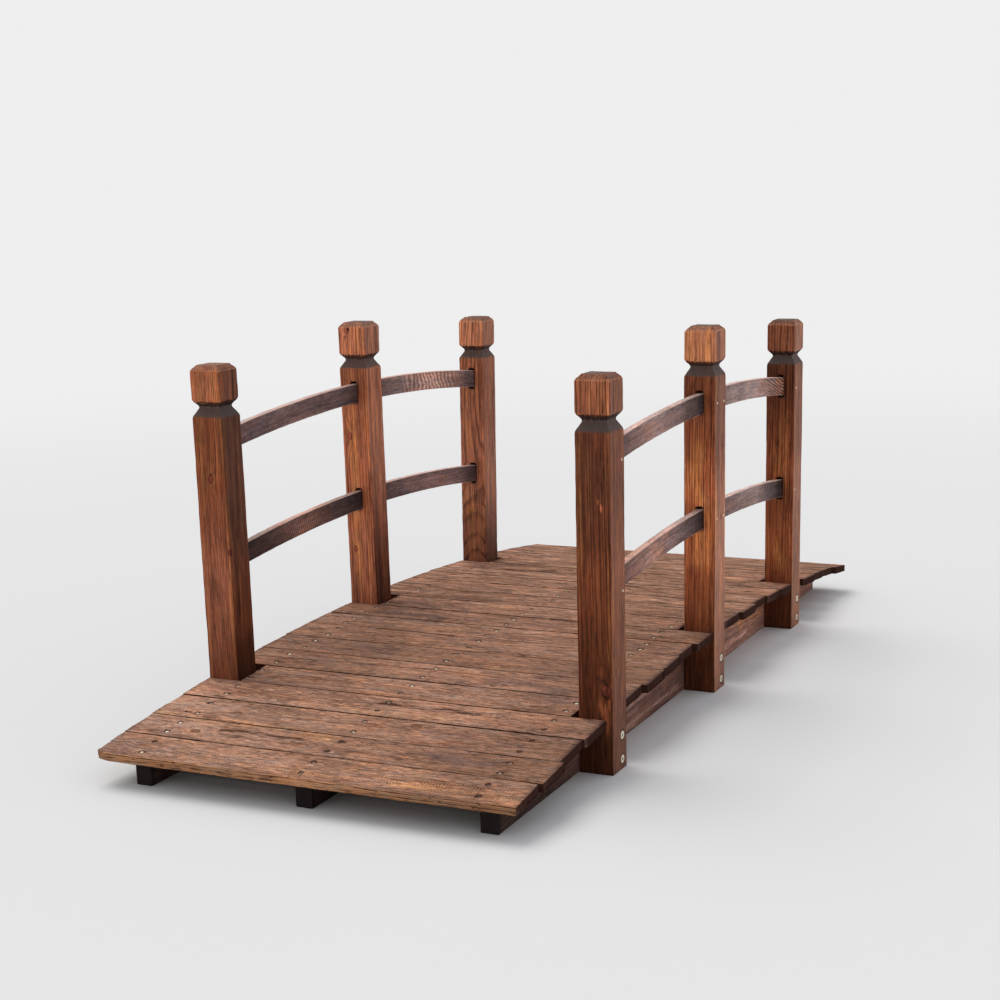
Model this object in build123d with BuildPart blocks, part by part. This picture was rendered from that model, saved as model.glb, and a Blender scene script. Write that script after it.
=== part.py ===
from build123d import *
from math import asin, cos, sin, sqrt
import os

# Deck: length, width at the front end, and how far it opens out towards the back
deck_length = 1520
deck_width = 654
deck_flare = 18
end_stagger = 4
stagger_turn = 2.3
crown_height = 100
deck_rise = 51

# Deck boards, counted from the front end to each post and on to the back end
stretch_boards = (4, 6, 6, 5)
board_thick = 14
board_joint = 3.5
board_ease = 0.8
short_end_left = 2
short_end_right = 9

# Arched stringers under the deck
stringer_thick = 26
stringer_setback = 20
stringer_ease = 1
seat_clear = 0.1

# Posts with a necked and chamfered cap
post_side = 52
post_ease = 2.5
post_pitch = 440
post_shift = -7
post_inset = 2
post_proud = 13
post_clear = 1.5
shoulder_height = 506
neck_side = 34
neck_rise = 14.5
cap_rise = 24
cap_edge_rise = 69
cap_top_rise = 76.5
cap_top_side = 36

# Curved rails let into slots in the posts
rail_radius = 3700
rail_thick = 12
rail_height = 32
rail_ease = 1.5
upper_rail_drop = 41.5
lower_rail_drop = 223.5
tenon_length = 18
mortise_depth = 19
mortise_width = 13
mortise_corner = 4
mortise_below = 1.2
mortise_above = 3.5

# Where the posts, the stringers and the arcs of the deck and rails lie
deck_left = (deck_width + deck_flare + end_stagger) / 2
deck_right = deck_left - deck_width
deck_radius = ((deck_length / 2) ** 2 + deck_rise**2) / (2 * deck_rise)
deck_centre = crown_height - deck_radius
seat_radius = deck_radius - board_thick
post_x = {place: post_shift + turn * post_pitch for place, turn in (("front", -1), ("middle", 0), ("back", 1))}
post_y = {"left": deck_left - post_inset - post_side / 2, "right": deck_right - post_proud + post_side / 2}
post_fronts = [x - post_side / 2 for x in post_x.values()]
stringer_y = {
    "left": post_y["left"] - (post_side + stringer_thick) / 2,
    "middle": deck_left - deck_width / 2,
    "right": post_y["right"] + (post_side + stringer_thick) / 2,
}
rail_crown = {"upper": shoulder_height - upper_rail_drop, "lower": shoulder_height - lower_rail_drop}
os.makedirs("parts", exist_ok=True)


def arc_height(x, crown, radius, rise=0):
    return crown - radius + sqrt((radius + rise) ** 2 - x**2)


def rail_line(x, crown, rise=0):
    return arc_height(x - post_shift, crown, rail_radius, rise)


# Stringers: flat foot on the ground, top edge arched to carry the deck
end_x = deck_length / 2 - stringer_setback
seat_crown = crown_height - board_thick - seat_clear
seat_end = arc_height(end_x, seat_crown, seat_radius)
for place, y in stringer_y.items():
    with BuildPart() as stringer:
        with BuildSketch(Plane.XZ.offset(-y)):
            with BuildLine():
                Polyline((-end_x, seat_end), (-end_x, 0), (end_x, 0), (end_x, seat_end))
                ThreePointArc((end_x, seat_end), (0, seat_crown), (-end_x, seat_end))
            make_face()
        extrude(amount=stringer_thick / 2, both=True)
        chamfer(stringer.edges().filter_by(Axis.Z), stringer_ease)
    stringer.part.label = f"stringer_{place}"
    export_step(stringer.part, f"parts/stringer_{place}.step")

# Deck boards: the posts divide the arc into stretches, each shared out evenly
board_count = sum(stretch_boards)
joint_angle = board_joint / deck_radius
stretch_ends = [-deck_length / 2] + [x - post_clear for x in post_fronts] + [deck_length / 2]
boards = []
start = asin(stretch_ends[0] / deck_radius) - joint_angle
for end_face, count in zip(stretch_ends[1:], stretch_boards):
    end = asin(end_face / deck_radius)
    share = (end - start) / count
    for place in range(count):
        beside_post = bool(boards) and place == 0
        boards.append((start + (place + 0.5) * share + joint_angle / 2, share - joint_angle, beside_post))
    start = end

# Each board lies flat on the stringers; those beside the posts are cut short between them
for i, (angle, spread, beside_post) in enumerate(boards):
    seat = Plane(
        origin=(seat_radius * sin(angle), 0, deck_centre + seat_radius * cos(angle)),
        x_dir=(cos(angle), 0, -sin(angle)),
        z_dir=(sin(angle), 0, cos(angle)),
    )
    stagger = end_stagger * cos(stagger_turn * (board_count - 1 - i))
    y_low = deck_right - deck_flare * i / (board_count - 1) - stagger
    y_high = deck_left
    if beside_post:
        y_low = post_y["right"] + post_side / 2 + short_end_right
        y_high = post_y["left"] - post_side / 2 - short_end_left
    with BuildPart() as board:
        with BuildSketch(seat):
            with Locations((0, (y_low + y_high) / 2)):
                Rectangle(spread * deck_radius, y_high - y_low)
        extrude(amount=board_thick)
        chamfer(board.edges().filter_by(Axis.Y), board_ease)
    board.part.label = f"deck_board_{i + 1:02d}"
    export_step(board.part, f"parts/deck_board_{i + 1:02d}.step")

# Posts: square, necked under a chamfered cap, with slots for the rail ends
for side, y in post_y.items():
    for post_place, x in post_x.items():
        shoulder = rail_line(x, shoulder_height)
        outline = [
            (0, post_side),
            (shoulder, post_side),
            (shoulder + neck_rise, neck_side),
            (shoulder + cap_rise, post_side),
            (shoulder + cap_edge_rise, post_side),
            (shoulder + cap_top_rise, cap_top_side),
        ]
        with BuildPart() as post:
            for height, width in outline:
                with BuildSketch(Plane.XY.offset(height)):
                    with Locations((x, y)):
                        RectangleRounded(width, width, post_ease)
            loft(ruled=True)
            for way in (-1, 1):
                if not min(post_x.values()) <= x + way * post_pitch <= max(post_x.values()):
                    continue
                face_x = x + way * post_side / 2
                tenon_end = face_x - way * tenon_length
                for crown in rail_crown.values():
                    low = min(rail_line(end, crown, -rail_height / 2) for end in (face_x, tenon_end))
                    high = max(rail_line(end, crown, rail_height / 2) for end in (face_x, tenon_end))
                    low -= mortise_below
                    high += mortise_above
                    with BuildSketch(Plane.YZ.offset(face_x)):
                        with Locations((y, (low + high) / 2)):
                            RectangleRounded(mortise_width, high - low, mortise_corner)
                    extrude(amount=-way * mortise_depth, mode=Mode.SUBTRACT)
        post.part.label = f"post_{side}_{post_place}"
        export_step(post.part, f"parts/post_{side}_{post_place}.step")

# Rails: thin boards sawn to the arc, one to a bay, with both ends inside the posts
for side, y in post_y.items():
    for bay, near, far in (("front", "front", "middle"), ("back", "middle", "back")):
        x0 = post_x[near] + post_side / 2 - tenon_length
        x1 = post_x[far] - post_side / 2 + tenon_length
        for level, crown in rail_crown.items():
            low, high = (
                [(x, rail_line(x, crown, rise)) for x in (x0, (x0 + x1) / 2, x1)]
                for rise in (-rail_height / 2, rail_height / 2)
            )
            with BuildPart() as rail:
                with BuildSketch(Plane.XZ.offset(-y)):
                    with BuildLine():
                        ThreePointArc(*low)
                        Line(low[2], high[2])
                        ThreePointArc(*high)
                        Line(high[0], low[0])
                    make_face()
                extrude(amount=rail_thick / 2, both=True)
                chamfer(rail.edges().filter_by(GeomType.CIRCLE), rail_ease)
            rail.part.label = f"rail_{level}_{side}_{bay}"
            export_step(rail.part, f"parts/rail_{level}_{side}_{bay}.step")
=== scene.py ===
import math
import bpy
import bmesh
import numpy as np
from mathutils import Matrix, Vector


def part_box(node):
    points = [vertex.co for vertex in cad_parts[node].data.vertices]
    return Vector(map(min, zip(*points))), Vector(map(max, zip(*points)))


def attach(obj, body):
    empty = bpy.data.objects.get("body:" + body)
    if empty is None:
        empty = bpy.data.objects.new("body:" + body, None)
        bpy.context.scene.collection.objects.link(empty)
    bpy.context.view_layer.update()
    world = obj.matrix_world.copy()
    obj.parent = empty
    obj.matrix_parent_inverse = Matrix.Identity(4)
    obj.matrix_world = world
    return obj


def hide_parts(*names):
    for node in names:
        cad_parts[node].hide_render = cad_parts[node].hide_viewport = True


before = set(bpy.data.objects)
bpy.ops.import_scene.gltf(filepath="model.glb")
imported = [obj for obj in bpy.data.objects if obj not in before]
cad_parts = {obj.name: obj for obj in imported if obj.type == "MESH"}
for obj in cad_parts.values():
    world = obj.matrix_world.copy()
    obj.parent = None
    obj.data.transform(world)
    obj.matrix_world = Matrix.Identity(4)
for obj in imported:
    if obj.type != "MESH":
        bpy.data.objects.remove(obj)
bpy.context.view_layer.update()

scene = bpy.context.scene
mm = 0.001
sides = ("left", "right")
places = ("front", "middle", "back")
# which way along the bridge the rails leave the posts at each place
railWays = {"front": (1,), "middle": (-1, 1), "back": (-1,)}
# factors that turn the corner of a cell into a random number
stir = {
    "corner": (73856093, 19349663, 83492791), "seed": 40503, "again": 1274126177, "shifts": (15, 13),
    "word": 0xFFFFFFFF, "half": 0xFFFF,
}


# three values for each point as one table; a lone number stands for every point
def triples(first, second, third):
    return np.stack(np.broadcast_arrays(first, second, third), 1)


# smooth random field between -1 and 1, one value for each point
def valueNoise(points, seed, scale=1):
    points = points * np.array(scale)
    cell = np.floor(points).astype(np.int64)
    blend = points - cell
    blend = blend * blend * (3 - 2 * blend)
    total = np.zeros(len(points))
    for corner in range(8):
        step = np.array([corner & 1, corner >> 1 & 1, corner >> 2 & 1])
        key = ((cell + step) * np.array(stir["corner"])).sum(1) + seed * stir["seed"]
        key = key & stir["word"]
        for shift in stir["shifts"]:
            key = ((key ^ (key >> shift)) * stir["again"]) & stir["word"]
        value = ((key ^ (key >> 16)) & stir["half"]) / (stir["half"] / 2) - 1
        total += value * np.where(step, blend, 1 - blend).prod(1)
    return total


def smoothStep(low, high, value):
    t = np.clip((value - low) / (high - low), 0, 1)
    return t * t * (3 - 2 * t)


def between(first, second, share):
    return first * (1 - share) + second * share


# grid lines across a width, closer together where the edges are eased
def easedSteps(half, pitch, ease, extra=()):
    inner = half - ease
    count = max(2, round(2 * inner / pitch))
    rim = [half, half - 0.28 * ease, half - 0.62 * ease]
    lines = list(np.linspace(-inner, inner, count + 1)) + rim + [-line for line in rim]
    for centre, reach, fine in extra:
        lines = [line for line in lines if abs(line - centre) > reach]
        lines += list(np.arange(centre - reach + fine / 2, centre + reach, fine))
    return np.array(sorted(lines))


# closed block of quads, with its corner points numbered on the surface only
def latticeBox(aSteps, bSteps, cSteps):
    grid = np.stack(np.meshgrid(aSteps, bSteps, cSteps, indexing="ij"), -1)
    skin = np.ones(grid.shape[:3], bool)
    skin[1:-1, 1:-1, 1:-1] = False
    number = np.full(grid.shape[:3], -1)
    number[skin] = np.arange(skin.sum())
    quads = []
    for axis in range(3):
        for end in (0, -1):
            layer = np.take(number, end, axis)
            corners = [layer[:-1, :-1], layer[1:, :-1], layer[1:, 1:], layer[:-1, 1:]]
            quad = np.stack(corners, -1).reshape(-1, 4)
            quads.append(quad[:, ::-1] if (end == 0) != (axis == 1) else quad)
    return grid[skin], np.concatenate(quads)


# rounds the block's edges to a radius that may change from point to point
def easeEdges(points, low, high, radius):
    radius = np.broadcast_to(radius, len(points))[:, None]
    inner = np.clip(points, low + radius, high - radius)
    reach = points - inner
    length = np.linalg.norm(reach, axis=1, keepdims=True)
    tiny = 1e-9
    eased = inner + reach / np.maximum(length, tiny) * np.minimum(radius, length)
    return np.where(length > tiny, eased, points)


# nearness to an arris: 1 on it, 0 a few millimetres away
def arrisMask(points, low, high, reach):
    gaps = np.sort(np.minimum(points - low, high - points), axis=1)
    return np.exp(-((np.maximum(gaps[:, 1], 0) / reach) ** 2))


# streaks laid on one by one, by kind: start, end, place across, width (all in mm) and strength
def strokes(along, across, marks, seed):
    wander = valueNoise(triples(along * 26, across * 9, 0), seed)
    ragged = valueNoise(triples(along * 70, across * 280, 0), seed + 1)
    found = dict.fromkeys(("burnAndShade", "stain", "glow", "pale", "saw"), 0.0)
    for kind, laid in marks.items():
        for start, end, place, width, strength in laid:
            low, high = min(start, end) * mm, max(start, end) * mm
            soft = min(0.012, (high - low) / 3)
            run = smoothStep(low - soft, low + soft, along) * smoothStep(high + soft, high - soft, along)
            off = (across - place * mm - 0.5 * width * mm * wander) / (width * mm)
            body = np.clip(np.exp(-(off**2)) * (1 + 0.6 * ragged), 0, 1.3)
            found[kind] = found[kind] + strength * body * run
    return found


# growth rings counted outwards from a pith line, bent aside by each knot
def growthRings(points, wood):
    along = points[:, 0]
    seed = wood["seed"]
    line = triples(along * 1.7 + seed, 0, 0)
    spots, *shifts = wood["slope"]
    pith = []
    for axis in (0, 1):
        bend = np.interp(along, spots, shifts[axis])
        pith.append(wood["pith"][axis] + wood["wander"] * valueNoise(line, seed + axis) + bend)
    radius = np.hypot(points[:, 1] - pith[0], points[:, 2] - pith[1])
    radius += wood["waver"] * valueNoise(points, seed + 2, (7, 45, 45))
    radius += 0.45 * wood["ringPitch"] * valueNoise(triples(radius * 110, 0, 0), seed + 3)
    knot = np.full(len(points), -1.0)
    for knotAlong, knotAcross, knotDepth, size in wood["knots"]:
        away = points - np.array([knotAlong, knotAcross, knotDepth])
        away *= np.array([0.72, 1, 1])
        distance = np.linalg.norm(away, axis=1)
        stretched = np.sqrt((away[:, 0] / 2.6) ** 2 + away[:, 1] ** 2 + away[:, 2] ** 2)
        radius += 1.9 * size * np.exp(-((stretched / (1.25 * size)) ** 2))
        knot = np.maximum(knot, 1 - distance / size)
    return radius / wood["ringPitch"], np.maximum(knot, -1)


def vectorsOf(items, key):
    values = np.empty(len(items) * 3)
    items.foreach_get(key, values)
    return values.reshape(-1, 3)


# gives a mesh its object, material and body; with a node, it takes the place of that solid
def finishPiece(name, mesh, material, node=None):
    mesh.materials.append(material)
    piece = bpy.data.objects.new(name, mesh)
    scene.collection.objects.link(piece)
    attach(piece, "root")
    if node:
        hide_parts(node)


# works a block's surface in the wood's own axes and then sets it in place
def woodPiece(name, node, block, toWorld, wood, fieldsAt, material, pockets=()):
    points, quads = block
    wood = {"slope": ((0,), (0,), (0,)), "knots": (), **wood}
    mesh = bpy.data.meshes.new(name)
    mesh.from_pydata(points.tolist(), [], quads.tolist())
    pocketFaces = cutPockets(mesh, pockets) if pockets else 0
    local = vectorsOf(mesh.vertices, "co")
    normals = vectorsOf(mesh.vertex_normals, "vector")
    rings, knot = growthRings(local, wood)
    fields = {"lines": np.ones(len(local)), "calm": np.zeros(len(local))}
    fields.update(fieldsAt(local, normals, rings, knot))
    mesh.vertices.foreach_set("co", toWorld(local + normals * fields.pop("relief")[:, None]).ravel())
    fields.update(ring=rings, knot=knot, wood=local + np.array([wood["seed"] * 0.37 % 5, 0, 0]))
    for key, value in fields.items():
        kind, entry = ("FLOAT_VECTOR", "vector") if value.ndim == 2 else ("FLOAT", "value")
        mesh.attributes.new(key, kind, "POINT").data.foreach_set(entry, value.astype(np.float32).ravel())
    smooth = np.ones(len(mesh.polygons), bool)
    smooth[len(smooth) - pocketFaces:] = False
    mesh.polygons.foreach_set("use_smooth", smooth)
    mesh.update()
    finishPiece(name, mesh, material, node)


# sinks slots with rounded corners into a face of the block; returns how many faces line them
def cutPockets(mesh, pockets):
    work = bmesh.new()
    work.from_mesh(mesh)
    lining = 0
    for pocket in pockets:
        way, faceAt, corner = pocket["way"], pocket["face"], pocket["corner"]
        low, high = np.array(pocket["low"]), np.array(pocket["high"])
        centre, half = (low + high) / 2, (high - low) / 2
        chosen = []
        for face in work.faces:
            middle = face.calc_center_median()
            spot = np.array([middle.x, middle.z])
            if middle.y * way > faceAt * way - 1e-5 and (abs(spot - centre) < half).all():
                chosen.append(face)
        for vert in {vert for face in chosen for vert in face.verts}:
            spot = np.array([vert.co.x, vert.co.z]) - centre
            inner = np.clip(spot, corner - half, half - corner)
            reach = spot - inner
            if np.linalg.norm(reach) > 0:
                spot = inner + reach * abs(reach).max() / np.linalg.norm(reach)
            vert.co.x, vert.co.z = spot + centre
        made = bmesh.ops.extrude_face_region(work, geom=chosen)
        bmesh.ops.delete(work, geom=[face for face in chosen if face.is_valid], context="FACES")
        sunk = [item for item in made["geom"] if isinstance(item, bmesh.types.BMVert)]
        for vert in sunk:
            vert.co.y -= way * pocket["depth"]
        lining += len({face for vert in sunk for face in vert.link_faces})
    work.to_mesh(mesh)
    work.free()
    return lining


# links a value to a socket or sets it there; a colour is given without its alpha
def feed(tree, socket, value):
    if isinstance(value, bpy.types.NodeSocket):
        tree.links.new(value, socket)
    elif socket.type == "RGBA":
        socket.default_value = (*value, 1)
    else:
        socket.default_value = value


# shader helpers: one node with its inputs, and the kinds of node that come often
def addNode(tree, kind, inputs=None, **settings):
    node = tree.nodes.new(kind)
    for key, value in settings.items():
        setattr(node, key, value)
    for key, value in (inputs or {}).items():
        feed(tree, node.inputs[key], value)
    return node


def calc(tree, operation, *values, clamp=False):
    inputs = dict(enumerate(values))
    return addNode(tree, "ShaderNodeMath", inputs, operation=operation, use_clamp=clamp).outputs[0]


def times(tree, *values):
    return calc(tree, "MULTIPLY", *values)


def timesPlus(tree, value, factor, added, clamp=False):
    return calc(tree, "MULTIPLY_ADD", value, factor, added, clamp=clamp)


def ramp(tree, value, low, high, toLow=0.0, toHigh=1.0):
    inputs = {"Value": value, "From Min": low, "From Max": high, "To Min": toLow, "To Max": toHigh}
    return addNode(tree, "ShaderNodeMapRange", inputs, interpolation_type="SMOOTHSTEP").outputs[0]


def vectorCalc(tree, operation, *values):
    return addNode(tree, "ShaderNodeVectorMath", dict(enumerate(values)), operation=operation).outputs


def splitVector(tree, vector):
    return addNode(tree, "ShaderNodeSeparateXYZ", {0: vector}).outputs


def noise(tree, vector, scale, detail=2.0, rough=0.5):
    inputs = {"Vector": vector, "Scale": scale, "Detail": detail, "Roughness": rough}
    return addNode(tree, "ShaderNodeTexNoise", inputs).outputs["Fac"]


# noise in the wood's own axes, with its scale along the grain first
def woodNoise(tree, wood, scale, detail=3.0, rough=0.5):
    return noise(tree, vectorCalc(tree, "MULTIPLY", wood, scale)[0], 1.0, detail, rough)


def mixColour(tree, factor, first, second, mode="MIX"):
    inputs = {"Factor": factor, 6: first, 7: second}
    return addNode(tree, "ShaderNodeMix", inputs, data_type="RGBA", blend_type=mode).outputs[2]


def newMaterial(name):
    material = bpy.data.materials.new(name)
    material.use_nodes = True
    return material, material.node_tree, material.node_tree.nodes["Principled BSDF"]


# a shared effect: a node group with the given inputs and one output for each value that build returns
def makeEffect(name, build, *labels):
    kinds = {"Wood": "NodeSocketVector", "Tint": "NodeSocketColor"}
    group = bpy.data.node_groups.new(name, "ShaderNodeTree")
    for label in labels:
        group.interface.new_socket(label, in_out="INPUT", socket_type=kinds.get(label, "NodeSocketFloat"))
    given = group.nodes.new("NodeGroupInput").outputs
    leave = group.nodes.new("NodeGroupOutput").inputs
    for label, value in build(group, given, given["Wood"]).items():
        group.interface.new_socket(label, in_out="OUTPUT", socket_type=kinds.get(label, "NodeSocketFloat"))
        group.links.new(value, leave[label])
    return group


def useEffect(tree, group, **inputs):
    return addNode(tree, "ShaderNodeGroup", inputs, node_tree=group).outputs


# growth rings: a soft pale early band that ends in a thin dark late one
def ringNodes(group, given, wood):
    drift = calc(group, "SUBTRACT", woodNoise(group, wood, (14, 160, 160)), 0.5)
    shifted = timesPlus(group, drift, given["Waver"], given["Ring"])
    part = calc(group, "FRACT", shifted)
    lineEnd = 0.94
    start = calc(group, "SUBTRACT", lineEnd, given["Width"])
    rise = ramp(group, part, start, timesPlus(group, given["Width"], 0.7, start))
    fall = ramp(group, part, lineEnd, 1.0, 1.0, 0.0)
    whole = calc(group, "FLOOR", shifted)
    pick = addNode(group, "ShaderNodeTexWhiteNoise", {"W": whole}, noise_dimensions="1D").outputs["Value"]
    depth = timesPlus(group, pick, 0.6, 0.4)
    fade = ramp(group, woodNoise(group, wood, (9, 70, 70)), 0.3, 0.62, 0.45, 1.0)
    return {"Late": times(group, times(group, rise, fall), times(group, depth, fade))}


# fibres: thin streaks that run along the grain, in three sizes
def fibreNodes(group, given, wood):
    made = {}
    for label, scale in (("Fine", (34, 900, 900)), ("Middle", (16, 330, 330)), ("Coarse", (4.5, 120, 120))):
        made[label] = ramp(group, woodNoise(group, wood, scale, 3.0, 0.55), 0.3, 0.7, -1.0, 1.0)
    return made


# saw marks: lines across the grain, uneven and broken
def sawNodes(group, given, wood):
    along, across, depth = splitVector(group, wood)
    lean = timesPlus(group, calc(group, "ADD", across, depth), given["Slant"], along)
    place = timesPlus(group, woodNoise(group, wood, (40, 140, 140), 2.0), 0.006, lean)
    wave = calc(group, "SINE", times(group, calc(group, "DIVIDE", place, given["Spacing"]), 2 * math.pi))
    patch = ramp(group, woodNoise(group, wood, (30, 120, 120)), 0.4, 0.6)
    nick = times(group, ramp(group, wave, 0.0, 0.6), timesPlus(group, patch, 0.5, 0.5))
    return {"Mark": times(group, wave, patch), "Nick": nick}


# mottling: soft patches a few centimetres long
def mottleNodes(group, given, wood):
    broad = woodNoise(group, wood, (12, 48, 48), 4.0, 0.62)
    small = woodNoise(group, wood, (90, 240, 240), 3.0, 0.6)
    return {"Tone": ramp(group, calc(group, "ADD", small, broad), 0.78, 1.22, -1.0, 1.0)}


# drift of hue: from mauve to tan, and from red to ochre, as one colour to multiply by
def hueNodes(group, given, wood):
    drifts = []
    for shift in (0.0, 7.3):
        moved = vectorCalc(group, "ADD", wood, (shift, 0, 0))[0]
        field = ramp(group, woodNoise(group, moved, (34, 75, 75), 6.0, 0.75), 0.25, 0.75, -1.0, 1.0)
        drifts.append(times(group, field, given["Amount"]))
    tan, ochre = drifts
    parts = {}
    for channel, (fromTan, fromOchre) in enumerate(((0.13, 0.0), (0.03, 0.08), (-0.1, 0.12))):
        parts[channel] = timesPlus(group, ochre, fromOchre, timesPlus(group, tan, fromTan, 1.0))
    return {"Tint": addNode(group, "ShaderNodeCombineColor", parts).outputs[0]}


# pores: short dark dents that lie along the grain
def poreNodes(group, given, wood):
    low = calc(group, "SUBTRACT", 0.78, given["Amount"])
    field = woodNoise(group, wood, (130, 420, 420), 2.0, 0.6)
    return {"Mask": ramp(group, field, low, calc(group, "ADD", low, 0.07))}


# scorched streaks left by the flame, and the painted shade laid into the same channel
def scorchAndShadeNodes(group, given, wood):
    broad = woodNoise(group, wood, (6, 38, 38), 4.0, 0.6)
    fine = woodNoise(group, wood, (30, 420, 420), 3.0, 0.6)
    field = calc(group, "ADD", timesPlus(group, fine, 0.45, broad), given["Amount"])
    broken = times(group, calc(group, "SUBTRACT", fine, 0.5), 2.4)
    laid = ramp(group, timesPlus(group, given["Painted"], 1.5, broken), 0.5, 1.25)
    return {"Mask": calc(group, "MAXIMUM", ramp(group, field, 0.95, 1.25), laid)}


# edge wear: bare, paler wood along the arrises
def wearNodes(group, given, wood):
    rub = calc(group, "ADD", woodNoise(group, wood, (40, 220, 220), 4.0, 0.65), given["Amount"])
    return {"Mask": ramp(group, times(group, given["Edge"], rub), 0.48, 0.72)}


# dust that settles on whatever faces up
def dustNodes(group, given, wood):
    lift = splitVector(group, addNode(group, "ShaderNodeNewGeometry").outputs["Normal"])[2]
    patch = ramp(group, woodNoise(group, wood, (16, 60, 60), 5.0, 0.65), 0.35, 0.7)
    return {"Mask": times(group, times(group, ramp(group, lift, 0.2, 0.95), patch), given["Amount"])}


# knots: a reddish eye with a dark rim and a dark heart
def knotNodes(group, given, wood):
    rough = calc(group, "SUBTRACT", woodNoise(group, wood, (240, 330, 330)), 0.5)
    level = timesPlus(group, rough, 0.9, given["Knot"])
    rim = times(group, ramp(group, level, -0.1, 0.1), ramp(group, level, 0.15, 0.4, 0.75, 0.0))
    dark = calc(group, "MAXIMUM", rim, ramp(group, level, 0.72, 0.92, 0.0, 0.8))
    return {"Mask": ramp(group, level, -0.15, 0.15), "Dark": dark}


ringGrain = makeEffect("ringGrain", ringNodes, "Ring", "Wood", "Waver", "Width")
fibres = makeEffect("fibres", fibreNodes, "Wood")
sawMarks = makeEffect("sawMarks", sawNodes, "Wood", "Spacing", "Slant")
mottle = makeEffect("mottle", mottleNodes, "Wood")
hueDrift = makeEffect("hueDrift", hueNodes, "Wood", "Amount")
pores = makeEffect("pores", poreNodes, "Wood", "Amount")
scorch = makeEffect("scorch", scorchAndShadeNodes, "Wood", "Amount", "Painted")
edgeWear = makeEffect("edgeWear", wearNodes, "Edge", "Wood", "Amount")
dust = makeEffect("dust", dustNodes, "Wood", "Amount")
knotEye = makeEffect("knotEye", knotNodes, "Knot", "Wood")
print("shared effects ready")


# one wood finish from the shared effects; each part of the bridge has its own values
def woodMaterial(name, finish):
    material, tree, shader = newMaterial(name)
    read = {}
    for key in ("wood", "look", "mark", "ring", "lines", "knot", "edge", "calm"):
        node = addNode(tree, "ShaderNodeAttribute", attribute_name=key)
        read[key] = node.outputs["Vector" if key in ("wood", "look", "mark") else "Fac"]
    wood, edge = read["wood"], read["edge"]
    tone, warm, bleach = splitVector(tree, read["look"])
    # the mark's first channel holds scorch and painted shade together
    burnAndShade, stain, sawn = splitVector(tree, read["mark"])
    width = calc(tree, "DIVIDE", finish["lineWidth"], calc(tree, "MAXIMUM", read["lines"], 1.0))
    grain = useEffect(tree, ringGrain, Ring=read["ring"], Wood=wood, Waver=finish["waver"], Width=width)
    late = grain["Late"]
    strands = useEffect(tree, fibres, Wood=vectorCalc(tree, "MULTIPLY", wood, finish["fibreScale"])[0])
    patches = useEffect(tree, mottle, Wood=wood)["Tone"]
    sawing = useEffect(tree, sawMarks, Wood=wood, Spacing=finish["sawSpacing"], Slant=finish["sawSlant"])
    saw = times(tree, sawing["Mark"], sawn)
    dents = useEffect(tree, pores, Wood=wood, Amount=finish["pores"])["Mask"]
    burntAndShaded = useEffect(tree, scorch, Wood=wood, Amount=finish["scorch"], Painted=burnAndShade)["Mask"]
    wearWood = vectorCalc(tree, "MULTIPLY", wood, finish["wearScale"])[0]
    worn = useEffect(tree, edgeWear, Edge=edge, Wood=wearWood, Amount=finish["wear"])["Mask"]
    dusty = useEffect(tree, dust, Wood=wood, Amount=finish["dust"])["Mask"]
    eye = useEffect(tree, knotEye, Knot=read["knot"], Wood=wood)
    hue = useEffect(tree, hueDrift, Wood=wood, Amount=finish["hue"])["Tint"]

    # plain wood, then the dark lines of its rings, then the eyes of its knots
    colour = mixColour(tree, bleach, finish["early"], finish["bleach"])
    warmth = timesPlus(tree, strands["Coarse"], finish["warmStreak"], warm, clamp=True)
    colour = mixColour(tree, warmth, colour, finish["warm"])
    dark = mixColour(tree, bleach, finish["late"], finish["bleachLate"])
    lines = times(tree, late, timesPlus(tree, bleach, finish["bleachRings"] - 1, 1.0))
    lines = calc(tree, "MULTIPLY", lines, read["lines"], clamp=True)
    colour = mixColour(tree, lines, colour, dark)
    knotColour = mixColour(tree, eye["Dark"], finish["knotPale"], finish["knotDark"])
    colour = mixColour(tree, eye["Mask"], colour, knotColour)

    # how light it is: fibres, mottling and saw marks, stilled where the piece asks for calm
    level = tone
    sources = {
        "coarse": strands["Coarse"], "middle": strands["Middle"], "fine": strands["Fine"],
        "mottle": patches, "sawTone": saw,
    }
    for amount, source in sources.items():
        level = timesPlus(tree, source, times(tree, tone, finish[amount]), level)
    level = timesPlus(tree, calc(tree, "SUBTRACT", tone, level), read["calm"], level)
    level = calc(tree, "MAXIMUM", level, 0.03)
    tint = addNode(tree, "ShaderNodeCombineXYZ", {0: level, 1: level, 2: level}).outputs[0]
    colour = mixColour(tree, 1.0, mixColour(tree, 1.0, colour, hue, "MULTIPLY"), tint, "MULTIPLY")

    # what lies on top, from the worn arrises to the dark nicks in them; the scorch layer also lays on painted
    # shade
    colour = mixColour(tree, times(tree, worn, finish["wearMix"]), colour, finish["worn"])
    colour = mixColour(tree, dusty, colour, finish["dustColour"])
    colour = mixColour(tree, stain, colour, finish["stain"])
    nicks = times(tree, times(tree, sawing["Nick"], edge), finish["nicks"])
    for cover in (times(tree, burntAndShaded, finish["scorchAndShadeMix"]), dents, nicks):
        colour = mixColour(tree, cover, colour, finish["charAndShade"])

    gloss = timesPlus(tree, strands["Middle"], 0.08, finish["rough"])
    gloss = timesPlus(tree, burntAndShaded, 0.1, gloss, clamp=True)
    height = times(tree, late, finish["ringHeight"])
    for source in (strands["Fine"], strands["Middle"]):
        height = timesPlus(tree, source, finish["hairHeight"], height)
    height = timesPlus(tree, dents, -0.5, timesPlus(tree, saw, finish["sawHeight"], height))
    bump = addNode(tree, "ShaderNodeBump", {"Height": height, "Strength": 1.0, "Distance": mm})
    shown = {"Base Color": colour, "IOR": 1.45, "Specular IOR Level": finish["sheen"], "Roughness": gloss,
        "Normal": bump.outputs["Normal"]}
    for key, value in shown.items():
        feed(tree, shader.inputs[key], value)
    return material


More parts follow.
